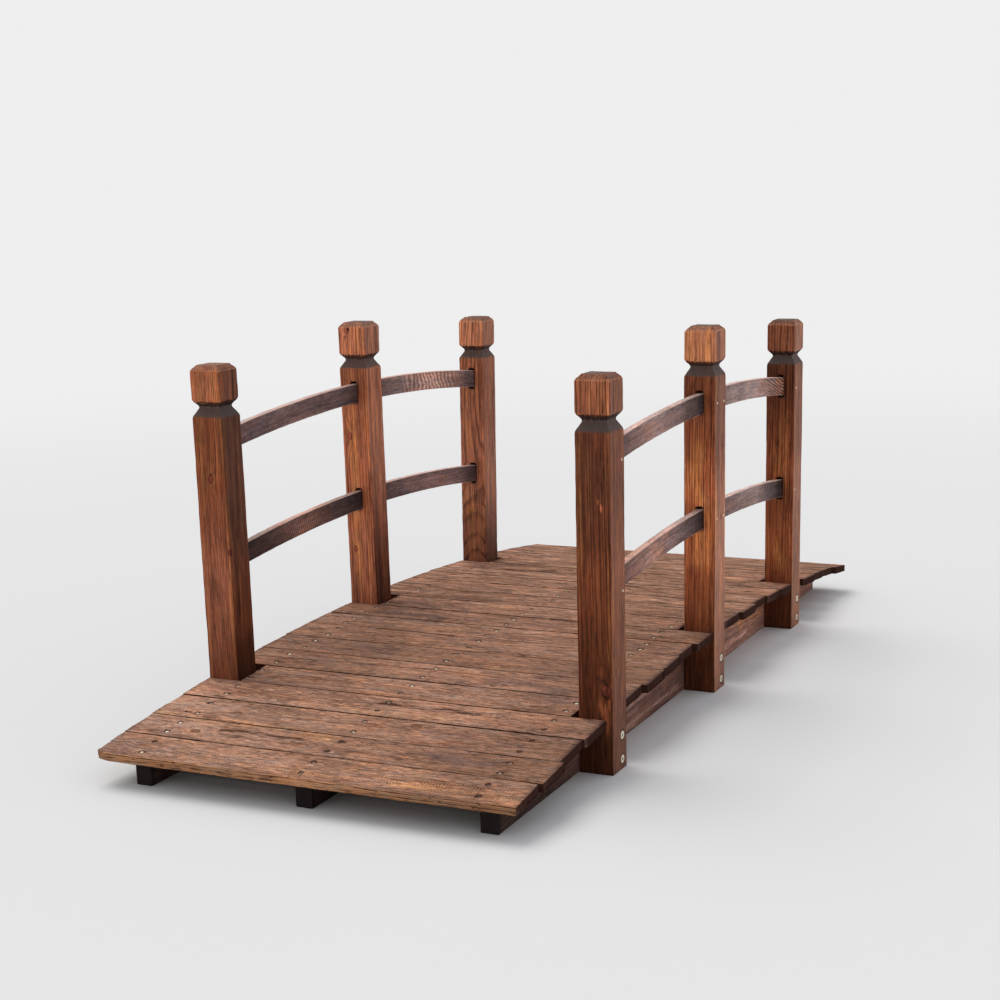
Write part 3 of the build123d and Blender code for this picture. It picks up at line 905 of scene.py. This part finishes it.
def makeRail(level, side, bay):
    key = f"{level}_{side}_{bay}"
    node = f"rail_{key}"
    look = rail["looks"][key]
    seed = look["seed"]
    waves = look.get("waves")
    low, high = boxOf(node)
    yMiddle = (low[1] + high[1]) / 2
    thick = (high[1] - low[1]) / 2
    tall = rail["height"] / 2
    arcX = postCentre(side, "middle")[0]
    radius = railing["arcRadius"]
    nearEnd = min(abs(low[0] - arcX), abs(high[0] - arcX))
    crown = high[2] - math.sqrt((radius + tall) ** 2 - nearEnd**2) + radius
    start, end = (math.asin((x - arcX) / radius) * radius for x in (low[0], high[0]))
    middle, halfLength = (start + end) / 2, (end - start) / 2 - rail["endPlay"]
    fineRows, upPitch = [], rail["pitch"]
    if waves:
        upPitch = rail["wavePitch"]
        fineEnd = min(waves["end"] + 0.01, arcX + end - 0.003)
        fineMiddle = (waves["start"] + fineEnd) / 2 - middle - arcX
        fineRows.append((fineMiddle, (fineEnd - waves["start"]) / 2, upPitch))
    rows = easedSteps(halfLength, rail["rowPitch"], rail["ease"], fineRows)
    across = easedSteps(thick, rail["thickPitch"], rail["ease"])
    points, quads = latticeBox(rows, across, easedSteps(tall, upPitch, rail["ease"]))
    boxHigh = np.array([halfLength, thick, tall])
    chip = valueNoise(triples(points[:, 0] * 70, np.sign(points[:, 1]), np.sign(points[:, 2])), seed)
    points = easeEdges(points, -boxHigh, boxHigh, rail["ease"] * (0.75 + 0.25 * chip))

    def fieldsAt(local, normals, rings, knot):
        along, up = local[:, 0], local[:, 2]
        place = along + middle + arcX
        tone, warm, bleach = (keyed(look["keys"], column, place) for column in (1, 2, 3))
        tone = tone * (1 + 0.14 * valueNoise(local, seed + 5, (22, 60, 60)))
        warm = np.clip(warm + 0.25 * valueNoise(local, seed + 3, (16, 60, 60)), 0, 1)
        bleach = np.clip(bleach + 0.25 * valueNoise(local, seed + 4, (9, 40, 40)), 0, 1)
        burnAndShade = 0.22 * valueNoise(local, seed + 6, (12, 30, 30))
        run = np.zeros(len(local))
        if waves:
            strength = waves["strength"]
            drift = waves["swing"] * valueNoise(local, seed + 12, (24, 60, 60))
            drift += 0.3 * waves["swing"] * valueNoise(local, seed + 16, (70, 160, 160))
            away = (place + waves["lean"] * up) / math.hypot(1, waves["lean"])
            wave = np.sin(away / waves["spacing"] * 2 * math.pi + drift)
            run = smoothStep(waves["start"], waves["start"] + waves["rise"], place)
            run = run * smoothStep(waves["end"] + 0.01, waves["end"] - 0.03, place)
            crest = 1 + 0.3 * max(strength, 1) * run * smoothStep(0.0, 1.0, wave)
            trough = 1 - np.minimum(0.4 * strength, 0.6) * run * smoothStep(-0.1, 0.8, -wave)
            tone = tone * crest * trough
            burnAndShade = burnAndShade + 0.7 * max(strength - 1, 0) * run * smoothStep(0.3, 0.8, -wave)
            warm = np.clip(warm + 0.4 * run * smoothStep(-0.5, 0.5, -wave), 0, 1)
        # darker where the rail runs into the posts, as painted shade
        socket = smoothStep(halfLength - 0.045, halfLength - 0.02, np.abs(along))
        burnAndShade = np.clip(burnAndShade + 0.12 * socket, 0, 1)
        top = smoothStep(0.3, 0.9, normals[:, 2])
        tone = between(tone, np.minimum(3.2, 2.0 * tone + 0.9), top)
        bleach = np.maximum(bleach, 0.8 * top)
        saw = np.sin(along / rail["sawPitch"] * 2 * math.pi + 2 * valueNoise(local, seed + 7, 40))
        relief = -0.0001 * (1 + saw) - 0.0002 * (1 + valueNoise(local, seed + 8, (14, 60, 60)))
        edge = arrisMask(local, -boxHigh, boxHigh, 0.002)
        stain = 0.15 * smoothStep(0.1, 0.9, valueNoise(local, seed + 14, (8, 40, 40))) * (tone < 1.0)
        return {"relief": relief, "lines": 0.45 * (1 - 0.85 * run), "look": triples(tone, warm, bleach),
            "mark": triples(burnAndShade, stain, 1 - 0.9 * run), "edge": edge}

    def toWorld(local):
        turn = (local[:, 0] + middle) / radius
        reach = radius + local[:, 2]
        up = crown - radius + reach * np.cos(turn)
        return leanOut(triples(arcX + reach * np.sin(turn), yMiddle + local[:, 1], up), side)

    wood = {**rail["wood"], **look}
    woodPiece(f"{node}_sawn", node, (points, quads), toWorld, wood, fieldsAt, railWood)


for side in sides:
    for bay in ("front", "back"):
        for level in ("upper", "lower"):
            makeRail(level, side, bay)
print("rails made")


# deck boards: brushed and scorched, each held down by six sunk screws
deck = {
    "pitch": 0.0027, "rowPitch": 0.0085, "thickPitch": 0.0045, "frontThickPitch": 0.0012, "ease": 0.0022,
    "screwLines": (0.2735, 0.0125, -0.2485), "screwInset": 0.0185, "sinkRadius": 0.0049, "sinkDepth": 0.0014,
    "screwLow": 0.0008, "screwStray": 0.002, "fine": 0.0013, "cadGap": 0.0035, "markReach": 0.07,
    # joints between boards, counted from the front: width left open, and how far each lies off its even place
    "gaps": (0.5, 0.5, 2.2, 0.9, 1.9, 0.4, 0.4, 0.5, 2, 1.9, 2.4, 1, 3.2, 2.6, 3, 2.4, 2.6, 2.8, 2.8, 3),
    "offsets": (0, -4, 0, 1, 1, 5, 5, 5, 1, 0, 2, 4, 6, 6, 6, 0, -2, 0, 0, 0),
    # tone of each board from the front; the lower tones of boards 7 to 12 hold some painted shade from the
    # posts and rails
    "tones": (1.12, 1.02, 1.05, 1.22, 1.05, 1.02, 0.86, 0.98, 0.98, 0.92, 0.96, 0.92, 1.03, 0.97, 0.95, 0.9,
        0.95, 0.95, 0.92, 0.9, 0.9),
    # how far the arrises on each joint are rounded
    "jointEase": (0.6, 0.7, 1.7, 1.1, 1.5, 0.6, 0.5, 0.6, 1.5, 1.4, 1.7, 0.8, 2, 1.6, 1.8, 1.3, 1.3, 1.6,
        1.4, 1.6),
    # how the front board's left end is clipped: length and width
    "cornerClip": (0.016, 0.005),
    # streaks along the front board's front edge, and those on the deck by place along the bridge
    "edgeMarks": {"burnAndShade": ((-330, 335, 4.4, 0.9, 0.95), (-320, 330, -1.6, 0.9, 0.9),
        (-200, 200, 2, 0.7, 0.4), (40, 330, 0.6, 1.2, 0.5), (-330, -60, -4.8, 0.9, 0.6),
        (100, 335, -4.2, 1.2, 0.6)),
        "pale": ((-330, 335, 6.2, 0.9, 0.6), (-330, 40, 3, 0.9, 0.5), (-310, -120, -3.2, 0.9, 0.45),
        (-60, 20, -1, 2, 0.4))},
    "marks": {"burnAndShade": ((60, 205, -648, 9, 0.8), (-30, 40, -650, 7, 0.5), (-300, -255, -655, 8, 0.4),
        (195, 258, -587, 3, 0.8), (120, 160, -590, 7, 0.4), (-35, 30, -497, 5, 1.1),
        (-130, -60, -498, 6, 1.1), (-25, 20, -512, 5, 0.6), (60, 110, -507, 3, 0.6),
        (-200, -140, -505, 3, 0.5), (285, 335, -742, 10, 0.5), (180, 255, -448, 9, 0.6),
        (262, 290, -535, 8, 0.9), (235, 250, -498, 6, 0.6), (180, 192, -510, 6, 0.6),
        (-222, -212, -530, 6, 0.9), (-142, -132, -570, 5, 0.7), (160, 172, -437, 6, 0.8),
        (180, 250, -290, 12, 0.5), (200, 240, -330, 18, 0.35), (-80, -60, -285, 5, 0.5),
        (-95, -75, -245, 6, 0.7), (40, 90, 90, 8, 0.5), (270, 300, 120, 8, 0.4), (160, 300, 195, 7, 0.5),
        (190, 240, 272, 7, 0.7), (90, 110, 266, 7, 0.7), (150, 320, 344, 6, 0.5), (-60, 20, 330, 9, 0.5),
        (-260, 60, 470, 8, 0.35), (-200, 250, 590, 10, 0.35)),
        "stain": ((-235, -140, -652, 9, 0.6), (-170, -90, -578, 8, 0.5), (-130, -70, -497, 7, 0.5),
        (285, 335, -745, 13, 0.5), (180, 250, -762, 5, 0.4), (-250, -170, -420, 10, 0.4),
        (110, 190, -275, 12, 0.4), (-170, -70, -365, 12, 0.45), (-230, -180, -390, 14, 0.35),
        (130, 260, -75, 18, 0.4), (-80, -20, -70, 16, 0.3), (200, 260, 0, 22, 0.3), (30, 80, 75, 14, 0.35),
        (-100, 200, 650, 14, 0.3)),
        "glow": ((285, 335, -616, 5, 0.8), (105, 275, -622, 9, 0.9), (20, 78, -633, 9, 0.9),
        (60, 110, -618, 6, 0.5), (-315, -120, -742, 13, 0.8), (-62, -40, -708, 8, 0.8),
        (-160, -140, -709, 8, 0.6), (100, 160, -722, 6, 0.4), (-100, -60, -530, 9, 0.6),
        (-25, 75, -745, 8, 0.5), (80, 130, -420, 12, 0.6), (0, 60, -425, 10, 0.3), (90, 140, -235, 10, 0.5),
        (40, 90, -230, 10, 0.4), (100, 150, -150, 7, 0.4), (20, 120, -135, 5, 0.5), (50, 110, 150, 12, 0.5),
        (40, 90, 15, 20, 0.35), (-30, 0, 5, 8, 0.4), (-90, -60, -310, 8, 0.6), (30, 80, -355, 10, 0.3),
        (-200, 100, 240, 12, 0.3), (-250, 150, 420, 14, 0.3)),
        "saw": ((-320, 250, -743, 14, 1), (-300, 250, -722, 7, 0.5), (-250, 200, -640, 9, 0.7),
        (-250, 120, -500, 14, 0.9), (-200, 60, -430, 11, 0.6), (-300, 300, -555, 6, 0.6),
        (-200, 150, -330, 14, 0.5), (-200, 200, -160, 14, 0.5))},
}
screwPlaces = []


def boardAxes(node):
    spots = vectorsOf(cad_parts[node].data.vertices, "co")
    middle = (spots.min(0) + spots.max(0)) / 2
    flat = spots[:, [0, 2]] - middle[[0, 2]]
    lengthwise = np.linalg.svd(flat, full_matrices=False)[2][0]
    lengthwise *= np.sign(lengthwise[0])
    upwards = np.array([-lengthwise[1], lengthwise[0]])
    return middle, lengthwise, upwards, np.ptp(flat @ lengthwise), np.ptp(flat @ upwards), np.ptp(spots[:, 1])


def makeBoard(number):
    node = f"deck_board_{number:02d}"
    middle, lengthwise, upwards, width, thick, length = boardAxes(node)
    first = number == 1
    seed = 200 + 7 * number
    pick = np.random.default_rng(seed)
    half = np.array([length / 2, width / 2, thick / 2])
    edges = []
    for joint in (number - 2, number - 1):  # the joint before this board and the one after it
        if 0 <= joint < len(deck["gaps"]):
            spare = (deck["cadGap"] - deck["gaps"][joint] * mm) / 2
            edges.append((deck["offsets"][joint] * mm, spare, deck["jointEase"][joint] * mm))
        else:
            edges.append((0.0, 0.0, deck["ease"]))
    frontEdge = -half[1] + edges[0][0] - edges[0][1]
    backEdge = half[1] + edges[1][0] + edges[1][1]
    stray = deck["screwStray"]
    insets = (frontEdge + deck["screwInset"], backEdge - deck["screwInset"])
    across = [inset + pick.uniform(-stray, stray) for inset in insets]
    along = [middle[1] - line + pick.uniform(-0.003, 0.003) for line in deck["screwLines"]]
    evenly = [(spot - frontEdge) / (backEdge - frontEdge) * 2 * half[1] - half[1] for spot in across]
    finer = (deck["sinkRadius"] + 0.001, deck["fine"])
    rows = easedSteps(half[0], deck["rowPitch"], deck["ease"], [(spot, *finer) for spot in along])
    columns = easedSteps(half[1], deck["pitch"], deck["ease"], [(spot, *finer) for spot in evenly])
    layers = easedSteps(half[2], deck["frontThickPitch" if first else "thickPitch"], deck["ease"])
    points, quads = latticeBox(rows, columns, layers)
    side = np.sign(points[:, 1])
    chips = [
        valueNoise(triples(points[:, 0] * pitch, side * 3, np.sign(points[:, 2])), seed + turn)
        for turn, pitch in enumerate((70, 190))
    ]
    rounding = np.where(side < 0, edges[0][2], edges[1][2])
    points = easeEdges(points, -half, half, rounding * (0.55 + 0.45 * np.maximum(*chips)))

    # the ends cut a little askew, the right ones chipped, and the long edges wavy towards the joints
    inset = pick.uniform(0, 0.0012, 2)
    share = points[:, 1] / half[1]
    endCut = np.where(points[:, 0] < 0, inset[0] * (1 + share), -inset[1] * (1 - share))
    points[:, 0] += endCut * np.abs(points[:, 0]) / half[0]
    chipped = np.where(side < 0, *pick.uniform(0, 0.0025, 2)) * smoothStep(0.6, 1.0, np.abs(share))
    points[:, 0] -= chipped * smoothStep(half[0] - 0.02, half[0], points[:, 0])
    wavy = 0.0008 * valueNoise(triples(points[:, 0] * 14, side, 0), seed + 2)
    evenY = frontEdge + (share + 1) / 2 * (backEdge - frontEdge)
    points[:, 1] = evenY - side * np.abs(wavy) * np.abs(share) ** 3
    if first:
        clipLength, clipWidth = deck["cornerClip"]
        away = np.clip(1 - (points[:, 0] + half[0]) / clipLength, 0, 1)
        points[:, 1] += away * clipWidth * (backEdge - points[:, 1]) / (backEdge - frontEdge)
    screws = [(a + pick.uniform(-stray, stray), b) for a in along for b in across]
    knots = [
        (pick.uniform(-0.3, 0.3), pick.uniform(-0.025, 0.025), half[2], pick.uniform(0.003, 0.007))
        for _ in range(pick.integers(0, 3))
    ]

    def fieldsAt(local, normals, rings, knot):
        a, b, c = local.T
        xWorld = middle[0] + b * lengthwise[0]
        yWorld = middle[1] - a
        near = {
            kind: [mark for mark in marks if abs(mark[2] * mm - middle[0]) < deck["markReach"]]
            for kind, marks in deck["marks"].items()
        }
        laid = strokes(yWorld, xWorld, near, seed + 21)
        up = smoothStep(0.2, 0.8, normals[:, 2])
        tone = deck["tones"][number - 1] * (1 + 0.1 * valueNoise(local, seed + 5, (5, 28, 28)))

        # broad light and shade over the whole deck, and livelier grain where it is seen from far off
        leftShade = smoothStep(0.04, 0.16, yWorld)
        leftShade = leftShade * smoothStep(-0.52, -0.42, xWorld) * smoothStep(0.3, 0.1, xWorld)
        rightShade = smoothStep(-0.1, -0.22, yWorld) * smoothStep(0.12, -0.02, xWorld)
        tone = 1.03 * tone * (1 - 0.13 * leftShade) * (1 - 0.2 * rightShade)
        tone *= 1 + 0.45 * yWorld * smoothStep(-0.69, -0.67, xWorld) * smoothStep(-0.48, -0.5, xWorld)
        lively = 0.6 * valueNoise(local, seed + 25, (45, 180, 50))
        lively += 0.4 * valueNoise(local, seed + 26, (16, 90, 50))
        tone *= 1 + smoothStep(-0.45, 0.3, xWorld) * lively
        warm = np.clip(0.5 * valueNoise(local, seed + 3, (2.5, 60, 50)) - 0.22, 0, 0.5)
        warm += 0.8 * laid["glow"] * up
        bleach = np.clip(0.25 + 0.5 * valueNoise(local, seed + 4, (4, 70, 60)), 0, 1)
        grey = smoothStep(0.02, 0.14, yWorld) * smoothStep(-0.5, -0.56, xWorld)
        bleach = np.clip(bleach + 0.35 * grey, 0, 1)
        burnAndShade = np.clip(0.6 * valueNoise(local, seed + 6, (6, 40, 36)) - 0.32, 0, 0.6)
        burnAndShade += 0.8 * laid["burnAndShade"] * up
        stain = 0.75 * laid["stain"] * up

        # dark ends, and painted shade on the joint walls and the undersides
        end = smoothStep(half[0] - 0.005, half[0] - 0.0005, np.abs(a))
        rightEnd = end * (a > 0)
        wall = smoothStep(0.6, 0.92, np.abs(normals[:, 1])) * (c < half[2] - 0.0012)
        wall[(normals[:, 1] < 0) & first | (normals[:, 1] > 0) & (number == len(deck["tones"]))] = 0
        under = smoothStep(0.0, -0.5, normals[:, 2])
        stain = np.maximum(stain, 0.6 * rightEnd)
        burnAndShade = np.maximum(burnAndShade, 0.9 * end * (0.6 + 0.4 * (a > 0)))
        burnAndShade = np.maximum(burnAndShade, 1.2 * wall)
        tone = tone * (1 - 0.45 * under) * (1 - 0.5 * end) * (1 - 0.35 * rightEnd) * (1 - 0.7 * wall)
        sawn = np.clip(0.35 + 0.5 * valueNoise(local, seed + 15, (6, 50, 50)) + laid["saw"], 0, 1.2)
        calm = np.zeros(len(local))
        if first:
            edgeFace = smoothStep(0.3, 0.8, -normals[:, 1])
            onEdge = strokes(yWorld, c, deck["edgeMarks"], seed + 23)
            warm = np.maximum(warm, 0.85 * edgeFace)
            darker = (0.12 + 0.14 * smoothStep(0.05, -0.2, yWorld)) * edgeFace
            tone = tone * (1 - darker) * (1 + onEdge["pale"] * edgeFace)
            burnAndShade = np.maximum(burnAndShade, (0.1 + 0.8 * onEdge["burnAndShade"]) * edgeFace)
            sawn *= 1 - 0.8 * edgeFace
            calm = 0.75 * edgeFace

        part = rings - np.floor(rings)
        ridge = np.minimum(smoothStep(0.1, 0.75, part), smoothStep(1.0, 0.85, part))
        relief = -0.00035 * (1 - ridge) - 0.00035 * (1 + valueNoise(local, seed + 8, (9, 60, 60)))
        relief -= 0.0005 * smoothStep(0.0, 0.4, knot)
        splinters = 1 + valueNoise(triples(np.sign(a), b * 330, c * 120), seed + 17)
        relief -= 0.0015 * np.abs(normals[:, 0]) * splinters
        # each screw sinks a countersink, darkened inside as painted shade
        sink = deck["sinkRadius"]
        for screwA, screwB in screws:
            away = np.hypot(a - screwA, b - screwB)
            relief -= deck["sinkDepth"] * (smoothStep(sink, sink - 0.0018, away) * (normals[:, 2] > 0.5))
            burnAndShade = np.maximum(burnAndShade, 1.1 * smoothStep(sink + 0.0008, sink - 0.0012, away) * (c > 0))
        edgeLow, edgeHigh = np.array([-half[0], frontEdge, -half[2]]), np.array([half[0], backEdge, half[2]])
        edge = arrisMask(local, edgeLow, edgeHigh, 0.0018)
        return {"relief": relief, "look": triples(tone, np.clip(warm, 0, 1), bleach),
            "mark": triples(burnAndShade, np.clip(stain, 0, 0.8), sawn), "edge": edge, "calm": calm}

    def toWorld(local):
        flat = local[:, 1:2] * lengthwise + local[:, 2:3] * upwards
        return triples(middle[0] + flat[:, 0], middle[1] - local[:, 0], middle[2] + flat[:, 1])

    wood = {"seed": seed, "pith": (pick.uniform(-0.03, 0.03), pick.uniform(-0.09, -0.04)), "wander": 0.02,
        "waver": 0.0012, "ringPitch": pick.uniform(0.0026, 0.0038), "knots": knots}
    woodPiece(f"{node}_brushed", node, (points, quads), toWorld, wood, fieldsAt, deckWood)
    for spot in screws:
        depths = (half[2] - deck["sinkDepth"] - deck["screwLow"], half[2])
        base, above = toWorld(np.array([[*spot, depth] for depth in depths]))
        line = np.interp(middle[1] - spot[0], (-0.25, 0.01, 0.27), (0.0, 0.25, 0.5))
        shine = np.clip(line + pick.uniform(-0.45, 0.5), 0, 1) if number < 5 else pick.uniform(0.25, 1)
        way = (above - base) / np.linalg.norm(above - base)
        screwPlaces.append((base, way, pick.uniform(0, math.pi), shine))


for number in range(1, len(deck["tones"]) + 1):
    makeBoard(number)
print("deck boards made")


# stringers: rough planks on edge, arched along the top
stringer = {
    "pitch": 0.004, "rowPitch": 0.008, "ease": 0.002,
    "wood": {"pith": (0.02, 0.16), "wander": 0.03, "waver": 0.001, "ringPitch": 0.006},
    "looks": {
        "left": {
            "seed": 301, "tone": 0.7, "marks": {},
        },
        "middle": {
            "seed": 307, "tone": 0.5, "marks": {},
        },
        "right": {
            "seed": 311, "tone": 0.83,
            "marks": {"pale": ((-420, -180, 44, 4, 0.8), (-400, -240, 30, 3, 0.6), (-330, -60, 14, 3, 0.7),
                (-430, -250, 8, 3, 0.8), (30, 300, 20, 4, 0.6)),
                "burnAndShade": ((-300, -120, 36, 6, 0.5), (20, 160, 44, 6, 0.4)),
                "glow": ((250, 400, 50, 22, 0.9), (60, 250, 60, 14, 0.4))},
        },
    },
}


def makeStringer(place):
    node = f"stringer_{place}"
    look = stringer["looks"][place]
    seed = look["seed"]
    low, high = boxOf(node)
    spots = vectorsOf(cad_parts[node].data.vertices, "co")
    endHeight = spots[(np.abs(spots[:, 0] - low[0]) < 0.002) & (spots[:, 2] > 0.01)][:, 2].min()
    halfLength = (high[0] - low[0]) / 2
    sag = high[2] - endHeight
    arc = (halfLength**2 + sag**2) / (2 * sag)
    thick = (high[1] - low[1]) / 2
    yMiddle = (high[1] + low[1]) / 2
    pitch, ease = stringer["pitch"], stringer["ease"]
    upright = easedSteps(high[2] / 2, pitch, ease) + high[2] / 2
    rows = easedSteps(halfLength, stringer["rowPitch"], ease)
    points, quads = latticeBox(rows, easedSteps(thick, pitch, ease), upright)
    boxLow = np.array([-halfLength, -thick, 0])
    boxHigh = np.array([halfLength, thick, high[2]])
    chip = valueNoise(triples(points[:, 0] * 40, np.sign(points[:, 1]), points[:, 2] * 20), seed)
    points = easeEdges(points, boxLow, boxHigh, ease * (0.7 + 0.3 * chip))

    def fieldsAt(local, normals, rings, knot):
        along, up = local[:, 0], local[:, 2]
        laid = strokes(along, up, look["marks"], seed + 21)
        tone = look["tone"] * (1 + 0.2 * valueNoise(local, seed + 5, (6, 40, 40))) * (1 + 0.9 * laid["pale"])
        warm = np.clip(0.5 * valueNoise(local, seed + 3, (5, 40, 40)) - 0.1 + laid["glow"], 0, 1)
        # the ends, and the stretch in front of the front posts, are darkened as painted shade under the
        # deck's edge
        end = smoothStep(halfLength - 0.012, halfLength - 0.002, np.abs(along))
        front = smoothStep(-0.44, -0.56, along)
        burnAndShade = np.maximum(0.25 * valueNoise(local, seed + 6, (4, 40, 40)) + 0.6 * laid["burnAndShade"], end)
        burnAndShade = np.maximum(burnAndShade, 0.55 * front)
        bleach = np.clip(0.2 + 0.3 * valueNoise(local, seed + 4, (7, 50, 50)) + 0.8 * laid["pale"], 0, 1)
        relief = -0.0002 * (1 + valueNoise(local, seed + 8, (14, 60, 60)))
        edge = arrisMask(local, boxLow, boxHigh, 0.002)
        tone = 1.3 * tone * (1 - 0.6 * end) * (1 - 0.5 * front) * (1 + 1.1 * smoothStep(0.05, 0.25, along))
        return {"relief": relief, "look": triples(tone, warm, bleach),
            "mark": triples(np.clip(burnAndShade, 0, 1.2), 0.1 * (1 - end), 1.0), "edge": edge}

    def toWorld(local):
        top = high[2] - arc + np.sqrt(arc**2 - np.clip(local[:, 0], -halfLength, halfLength) ** 2)
        return triples(local[:, 0], yMiddle + local[:, 1], local[:, 2] * top / high[2])

    wood = {**stringer["wood"], "seed": seed}
    woodPiece(f"{node}_sawn", node, (points, quads), toWorld, wood, fieldsAt, stringerWood)


for place in stringer["looks"]:
    makeStringer(place)
print("stringers made")


# screws: a dished steel head with a round recess, sunk in the boards or on the posts
def makeSteel(name):
    material, tree, shader = newMaterial(name)
    spot = addNode(tree, "ShaderNodeTexCoord").outputs["Object"]
    shine = addNode(tree, "ShaderNodeAttribute", attribute_name="shine").outputs["Fac"]
    patchy = timesPlus(tree, shine, 0.9, noise(tree, spot, 700.0, 4.0, 0.65))
    bright = ramp(tree, calc(tree, "SUBTRACT", patchy, 0.45), 0.2, 0.6)
    feed(tree, shader.inputs["Base Color"], mixColour(tree, bright, screw["rust"], screw["steel"]))
    feed(tree, shader.inputs["Roughness"], ramp(tree, bright, 0.0, 1.0, 0.8, 0.4))
    feed(tree, shader.inputs["Metallic"], ramp(tree, bright, 0.0, 1.0, 0.1, 0.45))
    return material


screwSteel = makeSteel("screwSteel")


def headMesh(work, base, up, radius, turn):
    side = np.cross(up, [0.0, 1.0, 0.3])
    side /= np.linalg.norm(side)
    other = np.cross(up, side)
    steps = screw["corners"]
    made = []
    for share, lift in ((1.0, -0.4), (1.0, 0.55), (0.88, 0.95), (0.55, 1.0), (0.38, 0.8), (0.3, -1.6)):
        ring = []
        for step in range(steps):
            angle = turn + 2 * math.pi * step / steps
            outwards = math.cos(angle) * side + math.sin(angle) * other
            ring.append(work.verts.new(base + radius * share * outwards + up * lift * screw["rise"]))
        made.append(ring)
    for inner, outer in zip(made[1:], made[:-1]):
        for step in range(steps):
            following = (step + 1) % steps
            work.faces.new((outer[step], outer[following], inner[following], inner[step]))
    work.faces.new(made[-1])
    work.faces.new(made[0][::-1])


def makeScrews(name, spots, radius):
    work = bmesh.new()
    for base, up, turn, _ in spots:
        headMesh(work, base, up, radius, turn)
    bmesh.ops.recalc_face_normals(work, faces=work.faces)
    mesh = bpy.data.meshes.new(name)
    work.to_mesh(mesh)
    work.free()
    shines = np.repeat([spot[3] for spot in spots], len(mesh.vertices) // len(spots))
    mesh.attributes.new("shine", "FLOAT", "POINT").data.foreach_set("value", shines.astype(np.float32))
    finishPiece(name, mesh, screwSteel)


makeScrews("board_screws", screwPlaces, screw["boardHead"])
postScrews = []
postNails = []
for side, way in (("left", 1), ("right", -1)):
    outwards = np.array([0.0, way, 0.0])
    for place in places:
        low, high = boxOf(f"post_{side}_{place}")
        centre = (low + high) / 2
        face = (high[1] if way > 0 else low[1]) - way * screw["inset"]
        for height in screw["postHeights"]:
            spot = np.array([centre[0] + screw["postOffset"], face, height])
            postScrews.append((spot, outwards, 0.3, 0.95))
        for drop in post["drop"].values():
            height = railLine(centre[0], shoulderCrown(side) - drop)
            for railWay in railWays[place]:
                spot = np.array([[centre[0] + railWay * screw["nailReach"], face, height]])
                postNails.append((leanOut(spot, side)[0], outwards, 0.0, 0.9))
makeScrews("post_screws", postScrews, screw["postHead"])
makeScrews("post_nails", postNails, screw["nailHead"])
print("screws made")


# camera where the picture was taken from
view = {
    "place": (-2.6709, -1.2059, 0.8119), "turn": (1.3195, 0.0257, -1.1361), "sensor": 36, "lens": 64.365,
    "shift": (-0.0053, 0.1361),
}
camera = bpy.data.cameras.new("camera")
camera.sensor_width = view["sensor"]
camera.lens = view["lens"]
camera.shift_x, camera.shift_y = view["shift"]
cameraObject = bpy.data.objects.new("camera", camera)
cameraObject.location = view["place"]
cameraObject.rotation_euler = view["turn"]
scene.collection.objects.link(cameraObject)
scene.camera = cameraObject
scene.view_settings.view_transform = "Standard"

# pale studio: the floor fades into a backdrop of the same tone, and keeps the shadow
studio = {
    "floor": (0.80, 0.80, 0.80), "floorReach": 40, "fadeFrom": 1.6, "fadeTo": 5.0,
    "backdrop": (0.86, 0.86, 0.86), "sky": (0.94, 0.96, 1.0), "skyLevel": 0.66,
    "sun": 1.35, "sunSpread": 0.7, "sunColour": (1.0, 0.97, 0.92), "sunFrom": (0.35, 0.62, 1.25),
}


def seenByCamera(tree):
    path = addNode(tree, "ShaderNodeLightPath").outputs
    shiny = calc(tree, "MAXIMUM", path["Is Glossy Ray"], path["Is Transmission Ray"])
    return calc(tree, "MAXIMUM", path["Is Camera Ray"], shiny)


floorMesh = bpy.data.meshes.new("floor")
reach = studio["floorReach"]
corners = [(-reach, -reach, 0), (reach, -reach, 0), (reach, reach, 0), (-reach, reach, 0)]
floorMesh.from_pydata(corners, [], [(0, 1, 2, 3)])
floor = bpy.data.objects.new("floor", floorMesh)
scene.collection.objects.link(floor)
floorPaint, tree, paint = newMaterial("floorPaint")
feed(tree, paint.inputs["Base Color"], studio["floor"])
feed(tree, paint.inputs["Roughness"], 0.95)
feed(tree, paint.inputs["Specular IOR Level"], 0.0)
glowing = addNode(tree, "ShaderNodeEmission", {"Color": studio["backdrop"], "Strength": 1.0})
spot = addNode(tree, "ShaderNodeNewGeometry").outputs["Position"]
away = vectorCalc(tree, "LENGTH", spot)["Value"]
far = times(tree, ramp(tree, away, studio["fadeFrom"], studio["fadeTo"]), seenByCamera(tree))
blend = addNode(tree, "ShaderNodeMixShader", {0: far, 1: paint.outputs[0], 2: glowing.outputs[0]})
feed(tree, tree.nodes["Material Output"].inputs["Surface"], blend.outputs[0])
floorMesh.materials.append(floorPaint)

world = bpy.data.worlds.new("world")
scene.world = world
world.use_nodes = True
tree = world.node_tree
light = tree.nodes["Background"]
feed(tree, light.inputs["Color"], studio["sky"])
feed(tree, light.inputs["Strength"], studio["skyLevel"])
shown = addNode(tree, "ShaderNodeBackground", {"Color": studio["backdrop"], "Strength": 1.0})
seen = seenByCamera(tree)
blend = addNode(tree, "ShaderNodeMixShader", {0: seen, 1: light.outputs[0], 2: shown.outputs[0]})
feed(tree, tree.nodes["World Output"].inputs["Surface"], blend.outputs[0])

sun = bpy.data.lights.new("sun", "SUN")
sun.energy = studio["sun"]
sun.angle = studio["sunSpread"]
sun.color = studio["sunColour"]
sunObject = bpy.data.objects.new("sun", sun)
sunX, sunY, sunZ = studio["sunFrom"]
sunObject.rotation_euler = (math.atan2(math.hypot(sunX, sunY), sunZ), 0, math.atan2(sunX, -sunY))
scene.collection.objects.link(sunObject)
print("camera, floor and light ready")
